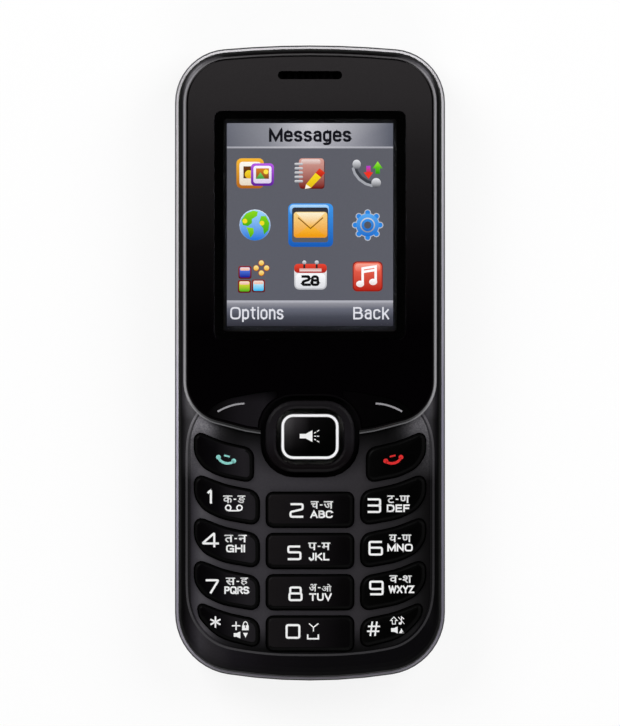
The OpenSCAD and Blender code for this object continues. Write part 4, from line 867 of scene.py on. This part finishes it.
# Signs of the keys: name, middle in photo pixels and width of their lines in mm
MARKS = {
    "key_1": [("reels", (234, 508), 0.24)],
    "key_star": [("plus", (236.2, 625.3), 0.22), ("lock", (245.5, 627), 0.16), ("speaker", (237.5, 634.5), 0),
                 ("down", (245.6, 634.8), 0)],
    "key_0": [("space", (313, 636.5), 0.26), ("branch", (314, 627.5), 0.18)],
    "key_hash": [("shift", (393.7, 620.3), 0.13), ("note", (401, 620), 0.16), ("slash", (401, 620), 0.12),
                 ("speaker", (394.6, 629.5), 0), ("up", (401.3, 630.3), 0)],
    "key_call": [("handset", (226, 460), 0.44), ("bar", (226, 460), 0.28)],
    "key_end": [("handset", (393.5, 460), 0.44), ("bar", (393.5, 460), 0.28)],
    "select_key": [("torch", (309.5, 436), 0.15)],
}
# Turn of the handsets on the call and end keys, in degrees
HANDSET_TILT = 14


def drawn(drawing, radius=0):
    """Parts of a drawing, each as its points and its mark, with rounded corners where it is marked so."""
    made = []
    for part in drawing.split(" | "):
        mark = part[0] if part[0] in "~oc=" else ""
        rows = [[float(c) for c in spot.split(",")] for spot in part.lstrip("~oc=@").split()]
        if "@" in part:
            (x, y), (wide, high), (start, end), (steps,) = rows
            turns = [math.radians(start + (end - start) * k / steps) for k in range(int(steps) + 1)]
            rows = [(x + wide * math.cos(a), y + high * math.sin(a)) for a in turns]
        points = [Vector(row) / 100 for row in rows]
        if mark in ("~", "o"):
            points = eased(points, radius, mark == "o")
        made.append((points, mark))
    return made


def lettered(text, left, right, top, base, width):
    """Lines, width wide, of a word that fills a box from its capitals' top to its base line."""
    strokes, length = [], -LETTER_GAP
    for sign in text:
        parts = drawn(GLYPHS[sign], LETTER_ROUND)
        start = Vector((length + LETTER_GAP, 0))
        strokes += [([p + start for p in points], mark == "o") for points, mark in parts]
        length += LETTER_GAP + max(p.x for points, _ in parts for p in points)
    up = math.copysign(width, top - base)
    made = []
    for points, closed in strokes:
        line = [Vector((left + width / 2 + p.x / length * (right - left - width),
                        base + up / 2 + p.y * (top - base - up))) for p in points]
        if not closed:
            head, tail = (line[0] - line[1]).normalized(), (line[-1] - line[-2]).normalized()
            line = [line[0] + head * width / 2, *line[1:-1], line[-1] + tail * width / 2]
        made.append((line, closed))
    return made


def print_number(sheet, sign, middle):
    """Number in strokes, centred on middle."""
    parts = drawn(GLYPHS[sign], DIGIT_ROUND)
    xs, ys = zip(*(p for points, _ in parts for p in points))
    centre = Vector((min(xs) + max(xs), min(ys) + max(ys))) / 2
    size = Vector((DIGIT_W, DIGIT_H))
    sheet.draw([([middle + (p - centre) * size for p in points], mark) for points, mark in parts],
               DIGIT_STROKE if sign.isdigit() else SIGN_STROKE)


def print_marks(sheet, node, tilt=0):
    """Signs of a key, turned by tilt degrees about their middles."""
    turn = Matrix.Rotation(math.radians(tilt), 2)
    for sign, place, width in MARKS[node]:
        middle = from_photo(*place)
        parts = drawn(SIGNS[sign])
        sheet.draw([([middle + turn @ p for p in points], mark) for points, mark in parts], width)


def print_legend(node, cap):
    """Number, letters and signs of a key as one printed piece."""
    sheet = Print()
    for text, place in LEGENDS[node].items():
        middle = from_photo(*place)
        if len(text) == 1:
            print_number(sheet, text, middle)
        elif text in LETTER_W:
            sheet.words(text, middle)
        else:
            sheet.script(text, middle)
    if node in MARKS:
        print_marks(sheet, node)
    sheet.lay("legend_" + node, node, PRINT, cap)


def print_sign(node, piece, ink, tilt=0):
    """Signs alone as one printed piece."""
    sheet = Print()
    print_marks(sheet, node, tilt)
    sheet.lay("sign_" + node, node, ink, piece)


# Pieces that take the place of, or lie on, CAD nodes

# Rounds on the sharp edges of CAD nodes: width and segments
EDGE_ROUNDS = {"keypad_frame": (0.12, 3), "nav_ring": (0.1, 3), "soft_key_left": (0.06, 2),
               "soft_key_right": (0.06, 2)}
# Least angle, in degrees, of an edge that is rounded
ROUND_ANGLE = 40


def dress_nodes():
    """Gives each CAD node its finish and smooth curves, and some a small round on their edges."""
    for material, names in NODE_FINISH:
        for name in names:
            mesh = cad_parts[name].data
            mesh.materials.clear()
            mesh.materials.append(material)
            smooth(mesh, NODE_SMOOTH)
    for name, (width, segments) in EDGE_ROUNDS.items():
        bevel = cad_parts[name].modifiers.new("edge_round", "BEVEL")
        bevel.width = width * MM
        bevel.segments = segments
        bevel.limit_method = "ANGLE"
        bevel.angle_limit = math.radians(ROUND_ANGLE)
        bevel.harden_normals = True


def make_keys():
    """All key caps with their prints."""
    for i, node in enumerate(LEGENDS):
        print_legend(node, key_cap(node, COLUMNS[i % len(COLUMNS)]))
    for node, finish, ink, tilt in (("key_call", KEY_LEFT, CALL_INK, -HANDSET_TILT),
                                    ("key_end", KEY_RIGHT, END_INK, HANDSET_TILT)):
        print_sign(node, key_cap(node, finish), ink, tilt)


# Dashes on the soft keys: their ends in photo pixels, width, bow and steps
DASH_ENDS = {"soft_key_left": ((217.8, 411.5), (244.5, 403.5)),
             "soft_key_right": ((375.5, 403.5), (402.0, 411.5))}
DASH_W, DASH_BOW, DASH_STEPS = 0.3, 0.32, 10
# Lines of painted shade and highlight round the fascia and the keypad: spacing of their points, depth under
# the top at which their outlines are cut, widths, and places beside their outlines
LINE_STEP = 0.6
GROOVE_CUT, GROOVE_IN, GROOVE_RISE, GROOVE_W = 0.02, 0.14, 0.25, 0.28
EDGE_CUT, EDGE_OUT, EDGE_IN, EDGE_TURN, EDGE_W = 0.2, 0.65, 0.3, 0.35, 0.36
EDGE_SMOOTHING = 16
# How far the keypad's edge reaches up beside the fascia
EDGE_RISE = 4.5


def print_soft_dashes():
    """Bowed light dash on each soft key."""
    for node, ends in DASH_ENDS.items():
        a, b = (from_photo(*end) for end in ends)
        shares = [k / DASH_STEPS for k in range(DASH_STEPS + 1)]
        sheet = Print()
        sheet.stroke([a.lerp(b, t) + Vector((0, DASH_BOW * 4 * t * (1 - t))) for t in shares], DASH_W)
        sheet.lay("dash_" + node, node, DASH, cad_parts[node])


def print_edge_lines():
    """Painted shade of a groove as a dark line inside the fascia's bevel, and a painted highlight along the
    housing's edge round the keypad.
    """
    fascia, housing, web = (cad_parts[name] for name in ("fascia", "front_housing", "keypad_frame"))
    rim = even(loops_at("fascia", box_mm("fascia")[1].z - GROOVE_CUT)[0], LINE_STEP)
    sheet = Print()
    sheet.stroke(beside(rim, lambda out: GROOVE_RISE * max(out.y, 0) ** 2 - GROOVE_IN), GROOVE_W, True)
    sheet.lay("fascia_groove", PHONE, GROOVE_SHADE, fascia)

    opening = even(loops_at("keypad_frame", box_mm("keypad_frame")[1].z - EDGE_CUT)[0], LINE_STEP)
    edge = beside(opening, lambda out: (EDGE_OUT + EDGE_IN) * min(1, abs(out.x) / EDGE_TURN) - EDGE_IN)
    n = len(edge)
    for _ in range(EDGE_SMOOTHING):
        edge = [(edge[i - 1] + 2 * here + edge[(i + 1) % n]) / 4 for i, here in enumerate(edge)]
    lowest = min(range(n), key=lambda i: edge[i].y)
    ordered = [edge[(lowest + n // 2 + i) % n] for i in range(n)]
    highest = box_mm("fascia")[0].y + EDGE_RISE
    sheet = Print()
    sheet.stroke([p for p in ordered if p.y < highest], EDGE_W)
    sheet.lay("keypad_edge", PHONE, EDGE, housing, web, reach=EDGE_W)


# The lit picture: its height over the panel, the step between its layers, and the longest step of its lines
SCREEN_LIFT, LAYER, LINE_PIXELS = 0.03, 0.006, 1.0
# Edges of the lit area and of its bars, in photo pixels
SCREEN_LEFT, SCREEN_RIGHT, SCREEN_TOP, SCREEN_BOTTOM = 227, 393, 123.4, 326
TITLE_BOTTOM, SOFT_BAR_TOP, LINE_H = 146.8, 300.9, 1.8
# Tones of the soft-key bar, at pixels below its top, and at its bottom
SOFT_BAR = [(-0.4, "b4b4bc"), (1.4, "aaaab2"), (2.4, "929299"), (8, "666874"), (16, "454751")]
SOFT_BAR_END = "32323b"
# Words on it: left, right, top of the capitals and base line; widths of their lines
TITLE_BOX, TITLE_STROKE = (269, 351.2, 128.6, 142.1), 2.6
OPTIONS_BOX, BACK_BOX, SOFT_STROKE = (230.3, 283.4, 307, 319.4), (353.2, 389, 307, 319.4), 1.7
# Middles of the icons' columns and rows
ICON_X = (255, 310.5, 367.6)
ICON_Y = (173.5, 225.2, 276.5)


class Picture:
    """Flat coloured shapes in pixels from an origin, made into one mesh with its colours stored on it."""

    def __init__(self):
        self.vertices = []
        self.faces = []
        self.colours = []
        self.origin = (0, 0)
        self.base = box_mm("lcd_panel")[1].z + SCREEN_LIFT

    def spots(self, pixels):
        return [from_photo(self.origin[0] + x, self.origin[1] + y) for x, y in pixels]

    def add(self, spots, faces, colours, layer):
        first = len(self.vertices)
        self.vertices += raised(spots, self.base + layer * LAYER)
        for f in faces:
            self.faces.append([first + i for i in f])
            self.colours += [colours[i] for i in f]

    def shape(self, pixels, code, layer, lower=None):
        """Filled outline of one colour, or shaded down to a second one."""
        spots = self.spots(pixels)
        if area_of(spots) < 0:
            spots.reverse()
        top, bottom = max(p.y for p in spots), min(p.y for p in spots)
        upper, lower = Vector(linear(code)), Vector(linear(lower or code))
        colours = [upper.lerp(lower, (top - p.y) / (top - bottom)) for p in spots]
        self.add(spots, [list(range(len(spots)))], colours, layer)

    def bar(self, left, top, right, bottom, upper, lower, layer):
        """Box shaded from an upper to a lower row of colours, spread evenly across it."""
        n = len(upper)
        columns = [left + (right - left) * i / (n - 1) for i in range(n)]
        self.add(self.spots([(x, y) for y in (bottom, top) for x in columns]),
                 [[i, i + 1, n + i + 1, n + i] for i in range(n - 1)],
                 [linear(code) for code in lower + upper], layer)

    def box(self, left, top, right, bottom, code, layer, lower=None):
        self.shape([(left, top), (right, top), (right, bottom), (left, bottom)], code, layer, lower)

    def panel(self, left, top, right, bottom, radius, code, layer, lower=None, steps=4):
        """Box with round corners."""
        pixels = []
        for x, y, start in ((right - radius, top + radius, -90), (right - radius, bottom - radius, 0),
                            (left + radius, bottom - radius, 90), (left + radius, top + radius, 180)):
            for k in range(steps + 1):
                a = math.radians(start + 90 * k / steps)
                pixels.append((x + radius * math.cos(a), y + radius * math.sin(a)))
        self.shape(pixels, code, layer, lower)

    def disc(self, x, y, radius, code, layer, lower=None, squeeze=1.0, steps=24):
        turns = [2 * math.pi * k / steps for k in range(steps)]
        self.shape([(x + radius * math.cos(a), y + squeeze * radius * math.sin(a)) for a in turns],
                   code, layer, lower)

    def line(self, pixels, width, code, layer, closed=False):
        """Line through pixels."""
        points = dense([Vector(p) for p in pixels], closed, LINE_PIXELS)
        spots = self.spots(ribbon(points, width, closed))
        n = len(spots)
        faces = [[i, (i + 2) % n, (i + 3) % n, i + 1] for i in range(0, n if closed else n - 2, 2)]
        self.add(spots, faces, [linear(code)] * n, layer)

    def words(self, text, box, width, code, layer):
        """Word in lines that fills a box."""
        for line, closed in lettered(text, *box, width):
            self.line(line, width, code, layer, closed)

    def make(self, name):
        piece = make_piece(name, self.vertices, self.faces, PHONE, [screen_finish()])
        ink = piece.data.color_attributes.new("ink", "FLOAT_COLOR", "CORNER")
        ink.data.foreach_set("color", [c for colour in self.colours for c in colour])


def draw_backdrop(art):
    """Title bar, field and soft-key bar."""
    art.bar(SCREEN_LEFT, SCREEN_TOP, SCREEN_RIGHT, SCREEN_BOTTOM,
            ["5e5f66", "5d5e66", "5e5f66"], ["5c5d66", "5b5c65", "5c5d66"], 0)
    art.bar(SCREEN_LEFT, SCREEN_TOP, SCREEN_RIGHT, TITLE_BOTTOM,
            ["6b6d77", "8b8c93", "c6c5ca", "a5a5ab", "5b5e69"],
            ["62646e", "84858d", "b2b1b8", "94949c", "575a65"], 1)
    art.bar(SCREEN_LEFT, TITLE_BOTTOM, SCREEN_RIGHT, TITLE_BOTTOM + LINE_H,
            ["b4b4bb", "d0d0d4", "b4b4bb"], ["8e8e96", "a6a6ac", "8e8e96"], 1)
    rows = [(SOFT_BAR_TOP + down, code) for down, code in SOFT_BAR] + [(SCREEN_BOTTOM, SOFT_BAR_END)]
    for (top, upper), (bottom, lower) in zip(rows, rows[1:]):
        art.box(SCREEN_LEFT, top, SCREEN_RIGHT, bottom, upper, 1, lower)
    art.words("Messages", TITLE_BOX, TITLE_STROKE, "14141a", 2)
    for word, box in (("Options", OPTIONS_BOX), ("Back", BACK_BOX)):
        art.words(word, box, SOFT_STROKE, "dedee4", 2)


# Icons, drawn in pixels from their middles, with Y downwards


def draw_photos(art):
    """Two framed pictures, one over the other."""
    art.panel(-18.5, -15, 9, 15, 5, "f8b838", 2, "b0601a")
    art.panel(-15.5, -11.5, 6, 12, 3, "fdfaf0", 3, "e6d8c2")
    art.box(-11.5, -7, 3, 5, "6a3a16", 4, "4a240c")
    art.disc(-6, 1, 4.2, "f6da2c", 5, "e0a81c")
    art.panel(-4, -10, 19, 12.5, 4, "b65ce2", 6, "5a1e92")
    art.panel(-1.5, -7.5, 16.5, 10, 2.5, "fcf8ff", 7, "dccfe8")
    art.box(1, -5, 14, 5.5, "d8802a", 8, "7a4418")
    art.shape([(1, 5.5), (5.5, -1), (10, 5.5)], "76cc60", 9, "3a963a")
    art.disc(11, -1.5, 2.4, "fbe24a", 9)


def draw_notebook(art):
    """Ring-bound notebook with a pencil on it."""
    art.panel(-11, -14, 14, 15.5, 3, "5e120c", 2)
    art.panel(-11.5, -15, 13.5, 14.5, 3, "d8a094", 3, "7a1a12")
    art.panel(-9.5, -14, 10, -9, 2, "ecd6d0", 4, "c89c92")
    for k in range(5):
        art.panel(-16, -10.5 + 4.3 * k, -7.5, -8 + 4.3 * k, 1.2, "e2e2e4", 5, "8c8c90")
    art.shape([(-4.5, 11), (5, -0.5), (10.5, 4), (0.5, 14.5)], "f8dc24", 6, "e4b814")
    art.shape([(5, -0.5), (9, -5), (14.5, -0.5), (10.5, 4)], "e84426", 7, "b41e10")
    art.shape([(-4.5, 11), (0.5, 14.5), (-5.5, 15.5)], "fbf2e0", 7)


def draw_calls(art):
    """Handset with an arrow in and an arrow out."""
    grip = [(-14, -7), (-12, -1), (-7.5, 5), (-1, 9.5), (6, 11.5)]
    art.line(grip, 5.6, "3c3e44", 2)
    art.line([(px - 0.9, py + 1.1) for px, py in grip], 2.6, "a2a4aa", 3)
    art.disc(-11, -9, 4.2, "e4e5e8", 4, "5c5e64", 1.1)
    art.disc(8.5, 9.5, 4.8, "e8e9ec", 4, "3c3e44")
    art.shape([(-4, -1), (5.5, -1), (0.8, 5.5)], "ee3422", 5)
    art.box(-1.3, -7.5, 2.9, -1, "b044cc", 5, "e0302a")
    art.shape([(5, -5), (15, -5), (10, -12)], "a4ee3c", 5, "4cba16")
    art.box(7.8, -5, 12.2, 0.5, "54c01a", 5, "2f8c10")


def draw_globe(art):
    """Blue globe with green land."""
    art.disc(0, 0, 15.6, "e8f2fa", 2, "3f78b8")
    art.disc(0, 0, 15, "9fd4fb", 3, "1a72d8", 1.0, 28)
    art.shape([(-13.5, -5), (-9, -11.5), (-2, -14.5), (3, -13.5), (2, -9),
               (-3, -6), (-3, -2), (-7, 1), (-12, 0)], "8ed81e", 4, "42aa14")
    art.shape([(-8.5, 2), (-1.5, 3), (-1, 8), (-4.5, 13)], "8cd81c", 4, "46a812")
    art.shape([(6, -9), (11, -9), (14.5, -2), (13.5, 5), (9, 9.5), (8, 3), (4, -2)], "7cd01a", 4, "3fa414")
    art.disc(-10, -4, 2.4, "f2dc2a", 5)
    art.disc(7, -2, 2.4, "f2dc2a", 5)


def draw_envelope(art):
    """Letter in the marked frame."""
    art.panel(-22.2, -21.6, 22.6, 21.8, 5, "3f96e8", 2, "165ab4")
    art.panel(-20.8, -20.4, 18.5, -10, 3.5, "b4dcfc", 3, "3c90e2")
    art.panel(-18.4, -17.6, 17.6, 17.2, 2.5, "2c2e38", 4, "5c5e66")
    art.panel(-16.8, -13.2, 16.8, 12.6, 3, "f8d488", 5, "ee980a")
    art.shape([(-15, 11), (0, -1), (15, 11)], "fbc044", 6, "f09c08")
    art.shape([(-14.5, -12.5), (14.5, -12.5), (0, 2.5)], "fdf2d2", 7, "f4b02c")
    art.line([(-12.5, -7.5), (0, 3.4), (12.5, -7.5)], 1.1, "8a5a10", 8)


def draw_gear(art):
    """Blue wheel with eight round teeth."""
    teeth = [2 * math.pi * k / 8 for k in range(8)]
    for radius, code, layer in ((3.4, "b8bcc4", 2), (2.5, "2c84dc", 4)):
        for a in teeth:
            art.disc(12.4 * math.cos(a), 12.4 * math.sin(a), radius, code, layer, steps=12)
    art.disc(0, 0, 12.2, "b8bcc4", 3)
    art.disc(0, 0, 11.4, "58a8f0", 5, "1f6cc8")
    art.disc(0, 0, 7.4, "d0d4da", 6, "8c9098")
    art.disc(0, 0, 6.2, "3a90e4", 7, "2068c0")
    art.disc(0, 0, 3.6, "54565f", 8)


def draw_tiles(art):
    """Three tiles and four beads."""
    for dx, dy, upper, lower in ((-10, -4, "5a86f0", "10148c"), (-10.5, 10, "f4e23c", "3fae1c"),
                                 (3.5, 9.5, "d8f8fc", "14b4ec")):
        art.panel(dx - 6.6, dy - 6.4, dx + 6.6, dy + 6.4, 2.2, "8c2a22", 2, "5c1410")
        art.panel(dx - 5.2, dy - 5.2, dx + 5.2, dy + 5, 1.6, upper, 3, lower)
        art.panel(dx - 4.8, dy - 5, dx + 4.8, dy - 1.8, 1.2, "f8dcd2", 4, "f0b8a0")
    for dx, dy in ((0, -5), (-5.2, 0), (5.2, 0), (0, 5)):
        art.disc(6.4 + dx, -8.4 + dy, 3.1, "a0341c", 2)
        art.disc(6.4 + dx, -8.4 + dy, 2.6, "fbec9c", 3, "eea81c")


def draw_calendar(art):
    """Wall calendar page."""
    art.panel(-16.2, -12, 16.2, 13.2, 5, "f6f6f6", 2, "b8b8bc")
    art.panel(-14.8, -3, 14.8, 11.8, 3.5, "fcfcfc", 3, "dcdce0")
    art.panel(-16.2, -12.5, 16.2, -3.5, 3.5, "e84632", 4, "a81c12")
    art.box(-11, -8, 11, -5, "d8a098", 5, "f0dcd8")
    for side in (-6.2, 6.2):
        art.line([(side, -13), (side, -8)], 2, "2a2a2c", 6)
        art.disc(side, -14, 2, "e8e8ec", 7, "8c8c92")
    art.words("28", (-9, 9, -1.2, 9.6), 2.6, "101010", 5)


def draw_music(art):
    """Two joined notes."""
    art.panel(-15, -15, 15, 15, 4.5, "8c1a10", 2)
    art.panel(-14, -14, 14, 14, 4, "f06a54", 3, "b41e12")
    art.panel(-12.5, -12.8, 12.5, -5, 3, "f8a694", 4, "ea6450")
    art.line([(-5, 7), (-5, -8), (8, -10), (8, 5)], 2.4, "ffffff", 5)
    art.line([(-5, -4.5), (8, -6.5)], 2.4, "ffffff", 6)
    art.disc(-7.5, 7.5, 4, "ffffff", 6, "e8d8d4", 0.8)
    art.disc(5.5, 5.5, 4, "ffffff", 6, "e8d8d4", 0.8)


ICONS = [[draw_photos, draw_notebook, draw_calls], [draw_globe, draw_envelope, draw_gear],
         [draw_tiles, draw_calendar, draw_music]]


def make_screen():
    """The whole lit picture as one piece."""
    art = Picture()
    draw_backdrop(art)
    for y, row in zip(ICON_Y, ICONS):
        for x, draw in zip(ICON_X, row):
            art.origin = (x, y)
            draw(art)
    art.make("screen_picture")


# Stage: camera's distance and sensor in mm, and in metres how far it sees and half the floor's side
CAMERA_FAR, SENSOR = 3000, 36
CAMERA_CLIP, FLOOR_HALF = 10, 2.0
# The floor's own white, and its share in what is seen of the floor: all from FLOOR_FAR on, in metres, and
# FLOOR_GLOW up to FLOOR_NEAR, where the rest is lit and shaded
FLOOR_WHITE, FLOOR_GLOW, FLOOR_NEAR, FLOOR_FAR = 0.95, 0.84, 0.2, 0.7
# Light of the room at the horizon and high up, and where high up begins
HORIZON, CEILING, HIGH_UP = 0.5, 0.02, 0.75
# Softboxes: name, place in mm, width and height in mm, power in watts
SOFTBOXES = [
    ("key_light", (-420, 380, 520), 420, 420, 3.6),
    ("fill_light", (430, 260, 480), 420, 420, 2.5),
    ("front_light", (60, -560, 420), 500, 300, 1.8),
]


def seen_ray(tree):
    """1 for rays that show what lies behind the phone: from the camera, in a reflection or through glass."""
    path = add_node(tree, "LightPath")
    found = path["Is Camera Ray"]
    for kind in ("Is Glossy Ray", "Is Transmission Ray"):
        found = add_node(tree, "Math", {0: found, 1: path[kind]}, operation="MAXIMUM")[0]
    return found


def make_floor():
    """White floor that keeps a soft shadow, and can be looked through from below."""
    mesh = bpy.data.meshes.new("floor")
    mesh.from_pydata([(x * FLOOR_HALF, y * FLOOR_HALF, 0) for x, y in ((-1, -1), (1, -1), (1, 1), (-1, 1))],
                     [], [[0, 1, 2, 3]])
    floor = add_object("floor", mesh)
    material = bpy.data.materials.new("floor_white")
    material.use_nodes = True
    mesh.materials.append(material)
    tree = material.node_tree
    tree.nodes.clear()
    place = add_node(tree, "TexCoord")["Object"]
    far = add_node(tree, "VectorMath", {0: place}, operation="LENGTH")["Value"]
    white = add_node(tree, "MapRange", {"Value": far, "From Min": FLOOR_NEAR, "From Max": FLOOR_FAR,
                                        "To Min": FLOOR_GLOW})["Result"]
    share = add_node(tree, "Math", {0: seen_ray(tree), 1: white}, operation="MULTIPLY")[0]
    lit = add_node(tree, "BsdfDiffuse", {"Color": grey(FLOOR_WHITE)})[0]
    glow = add_node(tree, "Emission")[0]
    seen = add_node(tree, "MixShader", {0: share, 1: lit, 2: glow})[0]
    below = add_node(tree, "NewGeometry")["Backfacing"]
    clear = add_node(tree, "BsdfTransparent")[0]
    both = add_node(tree, "MixShader", {0: below, 1: seen, 2: clear})[0]
    add_node(tree, "OutputMaterial", {"Surface": both})


def make_world():
    """White backdrop up to the horizon and a dark ceiling; half as bright where it only lights."""
    world = bpy.data.worlds.new("studio")
    bpy.context.scene.world = world
    world.use_nodes = True
    tree = world.node_tree
    place = add_node(tree, "TexCoord")["Generated"]
    height = add_node(tree, "SeparateXYZ", {0: place})["Z"]
    lit, shown = (add_ramp(tree, height, [(0.0, level), (HIGH_UP, CEILING)]) for level in (HORIZON, 1.0))
    room = add_node(tree, "Mix", {0: seen_ray(tree), 6: lit, 7: shown}, data_type="RGBA")[2]
    put(tree, tree.nodes["Background"].inputs["Color"], room)


def make_lights():
    """Softboxes that face the phone."""
    for name, place, width, height, power in SOFTBOXES:
        data = bpy.data.lights.new(name, "AREA")
        data.shape = "RECTANGLE"
        data.size = width * MM
        data.size_y = height * MM
        data.energy = power
        lamp = add_object(name, data)
        lamp.location = Vector(place) * MM
        lamp.rotation_euler = (-lamp.location).to_track_quat("-Z", "Y").to_euler()


def make_camera():
    """Long lens straight over the phone; the picture is as wide and high as the photograph."""
    data = bpy.data.cameras.new("camera")
    data.sensor_width = SENSOR
    data.lens = SENSOR * CAMERA_FAR / (PHOTO_H * PIXEL)
    data.clip_end = CAMERA_CLIP
    camera = add_object("camera", data)
    camera.location = (0, 0, (box_mm("trim_band")[1].z + CAMERA_FAR) * MM)
    bpy.context.scene.camera = camera


dress_nodes()
make_keys()
print_soft_dashes()
print_sign("select_key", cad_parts["select_key"], PRINT)
print_edge_lines()
make_screen()
make_floor()
make_world()
make_lights()
make_camera()
bpy.context.scene.view_settings.view_transform = "Standard"
